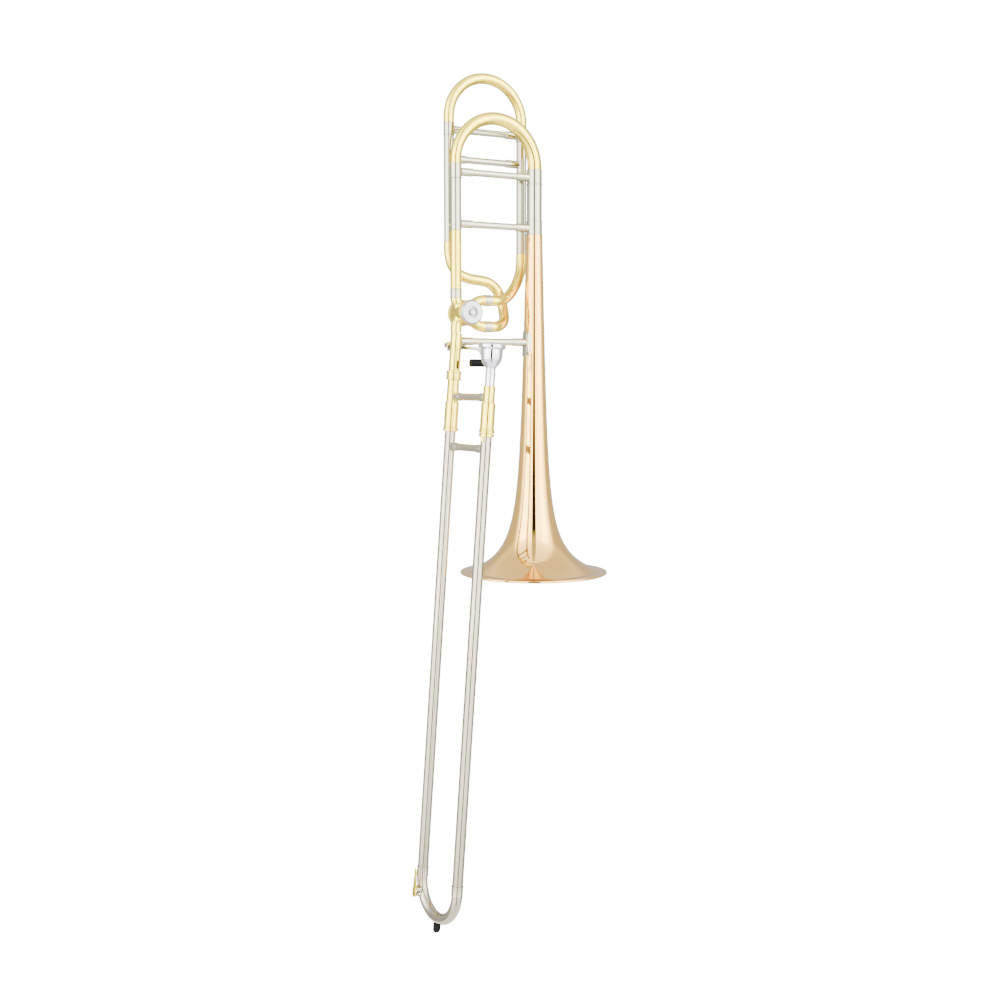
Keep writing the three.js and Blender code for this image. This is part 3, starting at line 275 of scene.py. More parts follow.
def joined(*shapes):
    verts, faces = [], []
    for v, f in shapes:
        start = len(verts)
        verts += v
        faces += [[i + start for i in face] for face in f]
    return verts, faces


ALONG_X = Matrix.Rotation(math.pi / 2, 4, "Y")
ALONG_Y = Matrix.Rotation(-math.pi / 2, 4, "X")


# Materials. Each is worked out from the piece's own coordinates.


def ramp(nodes, links, source, places):
    """A colour ramp over (place, value) stops. A value is a grey or a colour."""
    node = nodes.new("ShaderNodeValToRGB")
    links.new(source, node.inputs["Fac"])
    stops = node.color_ramp.elements
    while len(stops) < len(places):
        stops.new(0.5)
    for stop, (place, value) in zip(stops, places):
        stop.position = place
        stop.color = (*value, 1) if isinstance(value, tuple) else (value, value, value, 1)
    return node.outputs["Color"]


def noise(nodes, links, place, scale, detail, stretch=None):
    source = place
    if stretch:
        mapping = nodes.new("ShaderNodeMapping")
        mapping.inputs["Scale"].default_value = stretch
        links.new(place, mapping.inputs["Vector"])
        source = mapping.outputs["Vector"]
    node = nodes.new("ShaderNodeTexNoise")
    node.inputs["Scale"].default_value = scale
    node.inputs["Detail"].default_value = detail
    links.new(source, node.inputs["Vector"])
    return node.outputs["Fac"]


def material(
    name, colour, shade, rough, metal=1.0, specular=0.5, bump=0.0, bump_scale=900.0, stretch=None
):
    """colour and shade are the two ends of slow stains, rough the two ends of the polish."""
    stain_scale, polish_scale, bump_depth = 14.0, 60.0, 0.00005
    made = bpy.data.materials.new(name)
    made.use_nodes = True
    nodes, links = made.node_tree.nodes, made.node_tree.links
    surface = nodes["Principled BSDF"]
    surface.inputs["Metallic"].default_value = metal
    surface.inputs["Specular IOR Level"].default_value = specular
    place = nodes.new("ShaderNodeTexCoord").outputs["Object"]
    stains = noise(nodes, links, place, stain_scale, 4.0)
    tint = ramp(nodes, links, stains, [(0.35, colour), (0.75, shade)])
    links.new(tint, surface.inputs["Base Color"])
    smears = noise(nodes, links, place, polish_scale, 5.0, stretch)
    polish = ramp(nodes, links, smears, [(0.3, rough[0]), (0.75, rough[1])])
    links.new(polish, surface.inputs["Roughness"])
    if bump:
        grain = noise(nodes, links, place, bump_scale, 2.0, stretch)
        relief = nodes.new("ShaderNodeBump")
        relief.inputs["Strength"].default_value = bump
        relief.inputs["Distance"].default_value = bump_depth
        links.new(grain, relief.inputs["Height"])
        links.new(relief.outputs["Normal"], surface.inputs["Normal"])
    return made


LOOK = {
    "yellow_brass": material(
        "yellow_brass", (0.93, 0.73, 0.08), (0.91, 0.70, 0.065), (0.03, 0.07)
    ),
    "rose_brass": material(
        "rose_brass", (0.97, 0.585, 0.15), (0.95, 0.55, 0.13), (0.02, 0.045)
    ),
    "nickel_silver": material(
        "nickel_silver", (0.50, 0.475, 0.345), (0.48, 0.45, 0.32), (0.03, 0.08)
    ),
    "satin_nickel": material(
        "satin_nickel", (0.46, 0.41, 0.305), (0.42, 0.37, 0.27), (0.34, 0.44),
        bump=0.3, stretch=(1, 0.1, 1),
    ),
    "chrome_plate": material(
        "chrome_plate", (0.60, 0.61, 0.63), (0.57, 0.58, 0.60), (0.04, 0.09)
    ),
    "silver_plate": material(
        "silver_plate", (0.78, 0.77, 0.84), (0.72, 0.71, 0.76), (0.04, 0.08)
    ),
    "spring_steel": material(
        "spring_steel", (0.20, 0.20, 0.21), (0.15, 0.15, 0.15), (0.22, 0.34)
    ),
    "black_plastic": material(
        "black_plastic", (0.0045, 0.0045, 0.005), (0.003, 0.003, 0.0035), (0.35, 0.45),
        metal=0.0, specular=0.05, bump=0.15,
    ),
    "black_rubber": material(
        "black_rubber", (0.004, 0.004, 0.004), (0.006, 0.0058, 0.0055), (0.55, 0.7),
        metal=0.0, specular=0.05, bump=0.5,
    ),
    "cork": material(
        "cork", (0.13, 0.075, 0.032), (0.06, 0.032, 0.013), (0.75, 0.9),
        metal=0.0, specular=0.1, bump=1.0, bump_scale=1500.0,
    ),
}
# Looks for pieces that differ from the rest of their slot: the outer slide and the valve's cap.
SLIDE_NICKEL = material(
    "slide_nickel", (0.43, 0.39, 0.285), (0.41, 0.365, 0.26), (0.04, 0.08)
)
CAP_SILVER = material("cap_silver", (0.44, 0.43, 0.45), (0.41, 0.40, 0.42), (0.28, 0.36))


# Pieces.


def piece(name, shape, body, slot, *nodes, matrix=None, sharp=40, look=None):
    """Makes a piece in place of those CAD nodes, or of the one with its own name.

    It has its slot's look unless it's given one of its own.
    """
    verts, faces = moved(shape, matrix) if matrix else shape
    mesh = bpy.data.meshes.new(name)
    mesh.from_pydata([v * 0.001 for v in verts], [], faces)
    bm = bmesh.new()
    bm.from_mesh(mesh)
    bmesh.ops.remove_doubles(bm, verts=bm.verts, dist=1e-7)
    bmesh.ops.recalc_face_normals(bm, faces=bm.faces)
    bm.to_mesh(mesh)
    bm.free()
    mesh.polygons.foreach_set("use_smooth", [True] * len(mesh.polygons))
    mesh.set_sharp_from_angle(angle=math.radians(sharp))
    mesh.materials.append(look or LOOK[slot])
    made = bpy.data.objects.new(name, mesh)
    bpy.context.scene.collection.objects.link(made)
    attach(made, body)
    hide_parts(*(nodes or (name,)))


def shown_as_built(node, slot):
    """Keeps a CAD node in view, with the slot's look."""
    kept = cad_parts[node]
    kept.data.materials.clear()
    kept.data.materials.append(LOOK[slot])
    kept.data.polygons.foreach_set("use_smooth", [True] * len(kept.data.polygons))
    kept.data.set_sharp_from_angle(angle=math.radians(30))


NECK = Matrix.Translation((NECK_X, 0, 0))
VALVE = Matrix.Translation((VALVE_X, 0, VALVE_Z))
RIGHT_LEG = SLIDE @ Matrix.Translation((0, -SLIDE_SPACING, 0))
F_LEFT = Matrix.Translation((F_LEFT_X, F_Y, 0))
F_RIGHT = Matrix.Translation((F_RIGHT_X, F_Y, 0))


# Bell leg.


def bell_radius(z):
    flare = BELL_RIM_R - BELL_STEM_R - BELL_TAPER
    spread = flare * (1 + z / BELL_FLARE_LENGTH) ** -BELL_FLARE_POWER
    return BELL_STEM_R + BELL_TAPER * (1 - z / BELL_STEM_TOP) + spread


def bell():
    """The whole bell, with a rolled bead round its rim."""
    rings, bead_steps, bead_r = 110, 24, 2
    heights = [BELL_STEM_TOP * (k / rings) ** 2.2 for k in range(4, rings + 1)]
    bead = []
    for k in range(bead_steps + 1):
        a = -math.pi / 2 + math.pi * 1.15 * k / bead_steps
        bead.append((BELL_RIM_R - bead_r + bead_r * math.cos(a), bead_r + bead_r * math.sin(a)))
    lip = [(BELL_RIM_R - 5, BELL_WALL), (BELL_RIM_R - 3.4, 0.05)]
    outside = [(bell_radius(z), z) for z in heights if z > 4.2]
    inside = [(bell_radius(z) - BELL_WALL, z) for z in heights if z > 1.5]
    return turned(lip + bead + outside + inside[::-1], sides=160)


piece("bell", bell(), "bell_section", "rose_brass", "bell", "bell_tail", sharp=60)
piece(
    "bell_ferrule",
    banded(BELL_FERRULE_R, BELL_LEG_BORE_R, BELL_STEM_TOP + 0.1, BELL_FERRULE_TOP, 1.6, 11.75),
    "bell_section", "nickel_silver",
)
piece(
    "bell_leg_sleeve",
    banded(
        BELL_SLEEVE_R, BELL_LEG_BORE_R, BELL_FERRULE_TOP + 0.1, SLEEVE_TOP, 1.2, BELL_FERRULE_R,
        at_bottom=False,
    ),
    "bell_section", "nickel_silver",
)


def flange():
    """An eight-sided plate wrapped round the bell's stem on its -X side."""
    middle, half_height = 335.5, 18
    top_width, side_width, side_height = 7.9, 13.2, 9
    rows, columns = 24, 16
    verts, faces = [], []
    for lift in (0.15, FLANGE_THICKNESS):
        for i in range(rows + 1):
            z = half_height * (2 * i / rows - 1)
            taper = max(0, abs(z) - side_height) / (half_height - side_height)
            width = side_width + (top_width - side_width) * taper
            r = bell_radius(middle + z) + lift
            for j in range(columns + 1):
                u = 2 * j / columns - 1
                a = math.pi + u * (width - 0.3 * (lift == FLANGE_THICKNESS)) / r
                verts.append(Vector((r * math.cos(a), r * math.sin(a), middle + z)))
    layer = (rows + 1) * (columns + 1)
    for i in range(rows):
        for j in range(columns):
            a = i * (columns + 1) + j
            quad = [a, a + 1, a + columns + 2, a + columns + 1]
            faces.append(quad)
            faces.append([q + layer for q in quad[::-1]])
    sides = [i * (columns + 1) for i in range(rows + 1)]
    top = rows * (columns + 1)
    ends = [list(range(columns + 1)), [top + j for j in range(columns + 1)]]
    for line in [sides, [e + columns for e in sides], *ends]:
        for a, b in zip(line, line[1:]):
            faces.append([a, b, b + layer, a + layer])
    return verts, faces


piece("bell_flange", flange(), "bell_section", "nickel_silver")

# Neck leg.

piece(
    "neck_sleeve",
    banded(
        NECK_SLEEVE_R - 0.25, NECK_BORE_R, 490.7, SLEEVE_TOP, 1.2, NECK_SLEEVE_R, at_bottom=False
    ),
    "bell_section", "nickel_silver", matrix=NECK,
)
piece(
    "neck_tube", pipe(NECK_R, NECK_BORE_R, 409.6, 490.4),
    "bell_section", "yellow_brass", matrix=NECK,
)
piece(
    "neck_ferrule", banded(8.3, NECK_BORE_R, 396.8, 409.3, 1.3, 8.6),
    "bell_section", "nickel_silver", matrix=NECK,
)

# Valve.


def knuckle(side, end, bend, tail, radius):
    """A port's outer tube, from inside the casing to where it turns upright or level."""
    inside = 6
    reach = ROTOR_R * DIAGONAL - inside * DIAGONAL
    moves = [(inside, 0), (bend, -end * math.pi / 4), (tail, 0)]
    heading = math.atan2(end, side)
    return swept(walked(VALVE_X + side * reach, VALVE_Z + end * reach, heading, moves), radius)


def port_collar(side, end, radius):
    """The fillet where a port leaves the casing."""
    direction = math.atan2(end, side)
    outline = [
        (0, CASING_R - 3), (radius + 2.2, CASING_R - 3), (radius + 1.0, CASING_R - 0.8),
        (radius + 0.25, CASING_R + 0.5), (radius, CASING_R + 1.6), (0, CASING_R + 1.6),
    ]
    turn = Matrix.Rotation(math.pi / 2 - direction, 4, "Y")
    return moved(solid(outline, 0.6), VALVE @ turn)


def valve_casing():
    neck_bend = (VALVE_X - NECK_X - ROTOR_R * DIAGONAL) / (1 - DIAGONAL)
    band = [
        (0, -CASING_HALF), (CASING_R - 1.3, -CASING_HALF), (CASING_R - 0.8, -CASING_HALF + 2.2),
        (CASING_R - 0.5, -CASING_HALF + 2.6), (CASING_R - 0.5, CASING_HALF - 2.6),
        (CASING_R, CASING_HALF - 2.2), (CASING_R, CASING_HALF), (0, CASING_HALF),
    ]
    bottom = VALVE_Z - ROTOR_R * DIAGONAL - neck_bend * DIAGONAL
    stub = 0.1
    return joined(
        moved(solid(band, 0.3, sides=96), VALVE @ ALONG_Y),
        knuckle(-1, 1, neck_bend, stub, NECK_R),
        knuckle(-1, -1, neck_bend, bottom - NECK_FOOT, NECK_R),
        knuckle(1, 1, F_PORT_BEND_R, stub, F_R),
        knuckle(1, -1, F_PORT_BEND_R, stub, F_R),
        port_collar(-1, 1, NECK_R), port_collar(-1, -1, NECK_R),
        port_collar(1, 1, F_R), port_collar(1, -1, F_R),
    )


piece("valve_casing", valve_casing(), "bell_section", "yellow_brass")
cap_face = -CASING_HALF - 0.3
cap_outline = [
    (0, cap_face), (17.1, cap_face), (17.1, cap_face - 1.6), (16.8, cap_face - 1.9),
    (16.0, cap_face - 2.6), (15.4, cap_face - 4.1), (14.8, cap_face - 4.4), (7.4, cap_face - 4.4),
    (6.8, cap_face - 1.2), (4.9, cap_face - 1.2), (4.3, cap_face - 4.4), (3.4, cap_face - 4.9),
    (0, cap_face - 5.0),
]
piece(
    "valve_front_cap", solid(cap_outline, 0.35, sides=96),
    "bell_section", "silver_plate", matrix=VALVE @ ALONG_Y, look=CAP_SILVER,
)
back_plate = [
    (4.3, CASING_HALF + 0.3), (CASING_R, CASING_HALF + 0.3), (CASING_R, CASING_HALF + 2.2),
    (CASING_R - 1, CASING_HALF + 3.3), (4.3, CASING_HALF + 3.3),
]
piece(
    "valve_back_plate", turned(rounded(back_plate), sides=96),
    "bell_section", "yellow_brass", matrix=VALVE @ ALONG_Y,
)
shown_as_built("rotor", "nickel_silver")

# F attachment's fixed tubing.

for side, place, loop_top in (
    ("left", F_LEFT, F_LOWER_LOOP_TOP), ("right", F_RIGHT, F_UPPER_LOOP_TOP)
):
    sleeve = banded(F_R - 0.2, 6.7, loop_top + 0.3, F_SLEEVE_TOP, 1.2, F_R, at_bottom=False)
    piece(f"f_sleeve_{side}", sleeve, "bell_section", "nickel_silver", matrix=place)
LOOP_LEVEL = ROTOR_R * DIAGONAL + F_PORT_BEND_R * (1 - DIAGONAL)
FERRULE_START = VALVE_X + ROTOR_R * DIAGONAL + F_PORT_BEND_R * DIAGONAL + 0.4
LOOP_X = FERRULE_START + 10.3
for name, side in (("f_upper_ferrule", 1), ("f_lower_ferrule", -1)):
    level = Matrix.Translation((0, 0, VALVE_Z + side * LOOP_LEVEL)) @ ALONG_X
    piece(name, banded(8.0, 6.5, FERRULE_START, FERRULE_START + 10, 1.0, 8.2),
          "bell_section", "nickel_silver", matrix=level)


def upper_loop():
    level, top = VALVE_Z + LOOP_LEVEL, F_UPPER_LOOP_TOP
    points = [
        (LOOP_X, 0, level), (LOOP_X + 4, 0, level), (LOOP_X + 10, 0.6, level),
        (LOOP_X + 25, 6, level + 3), (F_RIGHT_X - 27, 14, level + 12),
        (F_RIGHT_X - 12, 22.5, level + 29), (F_RIGHT_X - 3, F_Y - 3, top - 24),
        (F_RIGHT_X, F_Y, top - 8), (F_RIGHT_X, F_Y, top),
    ]
    return swept(smooth_curve(points), F_R)


def lower_loop():
    level, top = VALVE_Z - LOOP_LEVEL, F_LOWER_LOOP_TOP
    points = [
        (F_LEFT_X, F_Y, top), (F_LEFT_X, F_Y, top - 14), (F_LEFT_X + 4, F_Y, top - 31),
        (F_LEFT_X + 15, F_Y, top - 44), (F_LEFT_X + 31, F_Y, top - 50),
        (F_LEFT_X + 48, F_Y, top - 52), (F_LEFT_X + 63, F_Y, top - 55),
        (F_LEFT_X + 75, F_Y, top - 64), (F_LEFT_X + 82, 30, top - 79),
        (F_LEFT_X + 83, 24, top - 95), (F_LEFT_X + 78, 13.5, level + 10),
        (F_LEFT_X + 66, 4.5, level + 2), (LOOP_X + 5, 0, level), (LOOP_X, 0, level),
    ]
    return swept(smooth_curve(points), F_R)


piece("f_upper_loop", upper_loop(), "bell_section", "yellow_brass")
piece("f_lower_loop", lower_loop(), "bell_section", "yellow_brass")

# Braces: a rod with a longer socket at each end, seated on the two tubes.


def brace_bar(start, end, rod, socket, socket_length, shoulder, edge, rings=()):
    """rings are distances from each end where the socket's wall has one ring of points more."""
    foot = [(0, start), (socket, start), *((socket, start + ring) for ring in rings)]
    foot.append((socket, start + socket_length))
    bar = [(rod, start + socket_length + shoulder), (rod, end - socket_length - shoulder)]
    head = [(socket, end - socket_length), *((socket, end - ring) for ring in reversed(rings))]
    head += [(socket, end), (0, end)]
    return solid(foot + bar + head, edge)


def cross_brace(name, body, x0, r0, x1, r1, y, z):
    """A brace along X between a tube of radius r0 at x0 and one of radius r1 at x1."""
    sunk = 1.5
    start, end = x0 + r0 - sunk, x1 - r1 + sunk
    bar = brace_bar(start, end, 4.8, 5.8, 23 - r0 / 2, 0.9, 0.3, rings=(0.9, 1.6))
    piece(name, bar, body, "nickel_silver", matrix=Matrix.Translation((0, y, z)) @ ALONG_X)


cross_brace(
    "fixed_brace", "bell_section", NECK_X, NECK_SLEEVE_R, 0, BELL_FERRULE_R, 0, UPPER_BRACE_Z
)
cross_brace("f_fixed_brace", "bell_section", F_LEFT_X, F_R, F_RIGHT_X, F_R, F_Y, 594)
cross_brace(
    "bell_brace", "bell_section",
    NECK_X, NECK_R, 0, bell_radius(BELL_BRACE_Z) + FLANGE_THICKNESS, 0, BELL_BRACE_Z,
)
cross_brace(
    "main_slide_brace", "main_tuning_slide", NECK_X, MAIN_LEFT_R, 0, MAIN_RIGHT_R, 0, 571.5
)
cross_brace(
    "f_slide_brace", "f_tuning_slide", F_LEFT_X, F_SLIDE_R, F_RIGHT_X, F_SLIDE_R, F_Y, 634.5
)


def link_post(start, reach):
    """A post from a leg's wall to the wall of the F attachment's leg, reach away."""
    end = reach - 6.6
    return solid([
        (0, start), (3, start), (3, start + 3), (2.5, start + 4), (2.5, end - 4), (3, end - 3),
        (3, end), (0, end),
    ], 0.3)


for name, x0, r0, x1 in (
    ("f_link_left", NECK_X, NECK_SLEEVE_R, F_LEFT_X),
    ("f_link_right", 0, BELL_FERRULE_R, F_RIGHT_X),
):
    turn = Matrix.Rotation(-math.atan2(x1 - x0, F_Y), 4, "Z")
    piece(
        name, link_post(r0 - 1, math.hypot(x1 - x0, F_Y)), "bell_section", "nickel_silver",
        matrix=Matrix.Translation((x0, 0, UPPER_BRACE_Z)) @ turn @ ALONG_Y,
    )


# Tuning slides.


def slide_leg(ferrule, inner, bore, bottom, length, inner_length):
    """A ferrule with a band at each end, and the inner tube that hangs from it."""
    top, waist = bottom + length, ferrule - 0.25
    outline = [
        (bore, bottom - inner_length), (inner, bottom - inner_length), (inner, bottom),
        (ferrule, bottom), (ferrule, bottom + 1.2), (waist, bottom + 1.5), (waist, top - 1.5),
        (ferrule, top - 1.2), (ferrule, top), (bore, top),
    ]
    return turned(rounded(outline, 0.2))


def bow(x0, x1, foot, stub, start, end):
    """A half circle between two legs, on straight stubs. Its tube goes from radius start to end."""
    radius, stub_steps, steps = (x1 - x0) / 2, 3, 64
    points, radii = [], []
    for k in range(stub_steps):
        points.append((x0, 0, foot + stub * k / stub_steps))
        radii.append(start)
    for k in range(steps + 1):
        a = math.pi * k / steps
        points.append(((x0 + x1) / 2 - radius * math.cos(a), 0, foot + stub + radius * math.sin(a)))
        radii.append(start + (end - start) * k / steps)
    for k in range(stub_steps):
        points.append((x1, 0, foot + stub * (stub_steps - 1 - k) / stub_steps))
        radii.append(end)
    return swept(points, radii, sides=56)


MAIN_LEG = {"bottom": 562.0, "length": 20.5, "inner_length": 58}
piece(
    "main_slide_leg_left", slide_leg(MAIN_LEFT_R, 6.9, 6.5, **MAIN_LEG),
    "main_tuning_slide", "nickel_silver", matrix=NECK,
)
piece(
    "main_slide_leg_right", slide_leg(MAIN_RIGHT_R, 9.7, 9.3, **MAIN_LEG),
    "main_tuning_slide", "nickel_silver",
)
piece(
    "main_bow", bow(NECK_X, 0, BOW_FOOT, BOW_STUB, 7.7, 10.3), "main_tuning_slide", "yellow_brass"
)
for side, place in (("left", F_LEFT), ("right", F_RIGHT)):
    piece(
        f"f_slide_leg_{side}", slide_leg(F_SLIDE_R, 6.6, 6.2, 626.6, 17.3, 135),
        "f_tuning_slide", "nickel_silver", matrix=place,
    )
piece(
    "f_bow", bow(F_LEFT_X, F_RIGHT_X, 644.2, 8, F_R, F_R), "f_tuning_slide", "yellow_brass",
    matrix=Matrix.Translation((0, F_Y, 0)),
)

# Thumb lever and linkage.

LEVER_X = -120.5
LEVER_Y = 14.5
LEVER_Z = 331.5
LEVER_SWING = math.radians(28.7)
LEVER = Matrix.Translation((0, LEVER_Y, LEVER_Z))
SADDLE_ENDS = (-134.5, -106.5)
PAD_Y = -30
PAD_Z = 306


def stop_arm():
    hub = moved(pipe(6, 4.2, 22.4, 25.1), ALONG_Y)
    finger = block((8, 2.6, 5), (-5.6, 23.75, 0), 0.5)
    screw = moved(solid([(0, 24), (3.2, 24), (3.2, 25.05), (0, 25.05)], 0.3), ALONG_Y)
    return moved(joined(hub, finger, screw), Matrix.Rotation(-math.pi / 4, 4, "Y"))


piece("stop_arm", stop_arm(), "rotor_group", "nickel_silver", matrix=VALVE)
rod_top = Vector((-114.95, 28.4, 371.55))
rod_bottom = Vector((-117.0, 33.877, 326.54))
rod_wire = swept([rod_top, rod_bottom], 1.4, sides=24)
piece(
    "linkage_rod", joined(rod_wire, ball(3, rod_top), ball(3, rod_bottom)),
    "linkage", "nickel_silver",
)


def thumb_lever():
    """The barrel, the arm that takes the linkage rod, and the wire out to the pad."""
    barrel = moved(pipe(2.8, 1.6, -133.2, -107.8, 0.25, 40), LEVER @ ALONG_X)
    swung_half_way = LEVER @ Matrix.Rotation(-LEVER_SWING / 2, 4, "X")
    arm = moved(block((2.4, 20, 4.4), (-121.5, 12, 0), 0.6), swung_half_way)
    x = -111.5
    wire = smooth_curve([
        (x, LEVER_Y, LEVER_Z - 1.5), (x, LEVER_Y - 4, LEVER_Z - 3.2),
        (x, LEVER_Y - 12, LEVER_Z - 4), (x + 4, LEVER_Y - 25, LEVER_Z - 4.5),
        (x + 11, LEVER_Y - 37, LEVER_Z - 7), (x + 13, PAD_Y, PAD_Z + 9), (x + 13, PAD_Y, PAD_Z),
    ])
    return joined(barrel, arm, swept(wire, 2.35, sides=32))


piece("thumb_lever", thumb_lever(), "thumb_lever_group", "nickel_silver")
pad = [(0, -117.5), (5.0, -117.5), (5.5, -116.9), (5.5, -88.1), (5.0, -87.5), (0, -87.5)]
piece(
    "thumb_pad", solid(pad, 0.6), "thumb_lever_group", "black_plastic",
    matrix=Matrix.Translation((0, PAD_Y, PAD_Z)) @ ALONG_X,
)
saddle = joined(
    block((30, 1.2, 5.4), (LEVER_X, 9.4, LEVER_Z + 2.4), 0.25),
    *(block((2, 8.6, 7), (x, 13.1, LEVER_Z), 0.4) for x in SADDLE_ENDS),
    moved(post(1.3, *SADDLE_ENDS), LEVER @ ALONG_X),
)
piece("lever_saddle", saddle, "bell_section", "nickel_silver")


def lever_spring():
    turns, steps, coil_r, start, length = 5, 24, 3.65, -131.9, 7.8
    coil = []
    for k in range(steps * turns + 1):
        a = 2 * math.pi * k / steps
        x = start + length * k / (steps * turns)
        coil.append((x, coil_r * math.cos(a), coil_r * math.sin(a)))
    return swept(coil, 0.6, sides=12)


piece("lever_spring", lever_spring(), "bell_section", "spring_steel", matrix=LEVER)

# Top of the slide section.

piece(
    "bell_receiver", banded(8.0, 7.8, -45, 8, 1.0, 8.2),
    "bell_section", "yellow_brass", matrix=SLIDE,
)
tenon = [
    (7.3, -87.7), (8.4, -87.7), (8.4, -64.6), (8.2, -64.2), (8.2, -58.2), (7.5, -58), (7.5, -8),
    (7.3, -8),
]
piece("slide_tenon", turned(rounded(tenon, 0.2)), "slide_section", "yellow_brass", matrix=SLIDE)


def lock_nut():
    outline = [
        (7.8, -57.7), (11.1, -57.7), (11.3, -57.3), (11.3, -55.9), (11.1, -55.5), (10.2, -55.2),
        (10.2, -47.8), (11.1, -47.5), (11.3, -47.1), (11.3, -45.7), (11.1, -45.3), (7.8, -45.3),
    ]
    return turned(rounded(outline, 0.3), sides=72)


piece("lock_nut", lock_nut(), "lock_nut_body", "yellow_brass", matrix=SLIDE)
cork_barrel = [
    (8.4, -129.6), (10.3, -129.6), (10.9, -129.1), (10.9, -126.9), (10.4, -126.3), (10.4, -125.5),
    (10.7, -125.1), (10.7, -124.2), (9.8, -123.6), (9.8, -89.6), (9.5, -88.3), (9.1, -88),
    (7.3, -88), (7.3, -96), (8.4, -96),
]
for side, place in (("left", SLIDE), ("right", RIGHT_LEG)):
    piece(
        f"cork_barrel_{side}", turned(rounded(cork_barrel, 0.3)),
        "slide_section", "yellow_brass", matrix=place,
    )
    piece(
        f"slide_cork_{side}", pipe(OUTER_TUBE_R, OUTER_BORE_R, -108, -96.3),
        "slide_section", "cork", matrix=place,
    )
for side, place, top in (("left", SLIDE, -10), ("right", RIGHT_LEG, -86.6)):
    piece(
        f"inner_tube_{side}", pipe(INNER_TUBE_R, 6.6, INNER_TUBE_FOOT, top, 0.15),
        "slide_section", "chrome_plate", matrix=place,
    )
leadpipe = [(7, -87.7), (8.15, -87.7), (8.15, -67), (7.9, -66.6), (7.9, -65.6), (7, -65.6)]
piece(
    "leadpipe_receiver", turned(rounded(leadpipe, 0.25)),
    "slide_section", "yellow_brass", matrix=RIGHT_LEG,
)


def slide_brace(depth, left, right):
    """A brace along the slide's Y, from the right leg's wall to the left one's."""
    sunk = 1
    bar = brace_bar(-SLIDE_SPACING + right - sunk, -left + sunk, 5.1, 5.95, 12, 4, 0.5)
    return shifted(moved(bar, ALONG_Y), 0, 0, -depth)


piece(
    "upper_slide_brace", slide_brace(81, 8.4, 8.15), "slide_section", "satin_nickel", matrix=SLIDE
)

# Outer slide.

for side, place in (("left", SLIDE), ("right", RIGHT_LEG)):
    piece(
        f"outer_tube_{side}", pipe(OUTER_TUBE_R, OUTER_BORE_R, -753.7, -108.3, 0.1),
        "outer_slide", "nickel_silver", matrix=place, look=SLIDE_NICKEL,
    )
    piece(
        f"crook_ferrule_{side}", banded(8.2, OUTER_BORE_R, -CROOK_DEPTH, -754, 1.0, 8.4),
        "outer_slide", "nickel_silver", matrix=place, look=SLIDE_NICKEL,
    )


def crook():
    """The U at the foot, a little clear of its ferrules."""
    radius, gap, steps = SLIDE_SPACING / 2, 0.3, 48
    points = []
    for k in range(steps + 1):
        a = math.pi * k / steps
        points.append(
            (0, -radius + radius * math.cos(a), -CROOK_DEPTH - gap - radius * math.sin(a))
        )
    return swept(points, 7.8, sides=56)


piece("crook", crook(), "outer_slide", "nickel_silver", matrix=SLIDE, look=SLIDE_NICKEL)
piece(
    "hand_brace", slide_brace(151, OUTER_TUBE_R, OUTER_TUBE_R),
    "outer_slide", "satin_nickel", matrix=SLIDE,
)
bumper = [
    (0, -834.6), (3.6, -834.9), (4.1, -834.4), (4.3, -833.4), (5.0, -833.0), (5.4, -832.3),
    (5.4, -824.5), (5.0, -824.0), (5.2, -823.6), (5.2, -822.4), (0, -822.4),
]
piece(
    "bumper", solid(bumper, 0.3), "outer_slide", "black_rubber",
    matrix=SLIDE @ Matrix.Translation((0, -SLIDE_SPACING / 2, 0)),
)

# Water key.

KEY_Y = -6
NIPPLE_Z = -791.5
PIN_X = -13.3
PIN_Z = -783.5


def key_saddle():
    """The nipple over the hole, and two posts with the pin the key turns on."""
    nipple = moved(pipe(2.5, 1.2, -12.3, -7, 0.2, 32), ALONG_X)
    base = moved(post(4, -10, -7, 0.4), ALONG_X)
    solids = [shifted(nipple, 0, KEY_Y, NIPPLE_Z), shifted(base, 0, KEY_Y, NIPPLE_Z)]
    for side in (-1, 1):
        y = KEY_Y + side * 5.5
        solids.append(block((8.2, 1.9, 5), (-10.8, y, PIN_Z), 0.8))
        knob = ball(1.9, squash=0.7)
        solids.append(moved(knob, Matrix.Translation((PIN_X, y, PIN_Z)) @ ALONG_Y))
    solids.append(block((1.6, 12.9, 8), (-9.2, KEY_Y, PIN_Z - 1.5), 0.4))
    solids.append(shifted(moved(post(1, -6.4, 6.4), ALONG_Y), PIN_X, KEY_Y, PIN_Z))
    return joined(*solids)


piece("water_key_saddle", key_saddle(), "outer_slide", "nickel_silver", matrix=SLIDE)
key_cork = moved(post(3.3, -15.0, -12.6, 0.4), ALONG_X)
piece(
    "water_key_cork", shifted(key_cork, 0, KEY_Y, NIPPLE_Z), "water_key_group", "cork", matrix=SLIDE
)


def key_blade():
    """A flat blade that narrows to a rounded thumb tip."""
    length, wide, narrow, thickness = 29, 4.2, 1.6, 1.6
    line = [(-wide, 0), (-narrow, length)]
    for k in range(1, 8):
        a = math.pi * k / 8
        line.append((-narrow * math.cos(a), length + narrow * math.sin(a)))
    line += [(narrow, length), (wide, 0)]
    verts = [Vector((x, y, z)) for x in (0, -thickness) for y, z in line]
    count = len(line)
    faces = [list(range(count))[::-1], list(range(count, 2 * count))]
    faces += [[i, (i + 1) % count, (i + 1) % count + count, i + count] for i in range(count)]
    bm = bmesh.new()
    corners = [bm.verts.new(v) for v in verts]
    for face in faces:
        bm.faces.new([corners[i] for i in face])
    return shifted(bevelled(bm, 0.35, 2), PIN_X - 1.6, KEY_Y, PIN_Z)


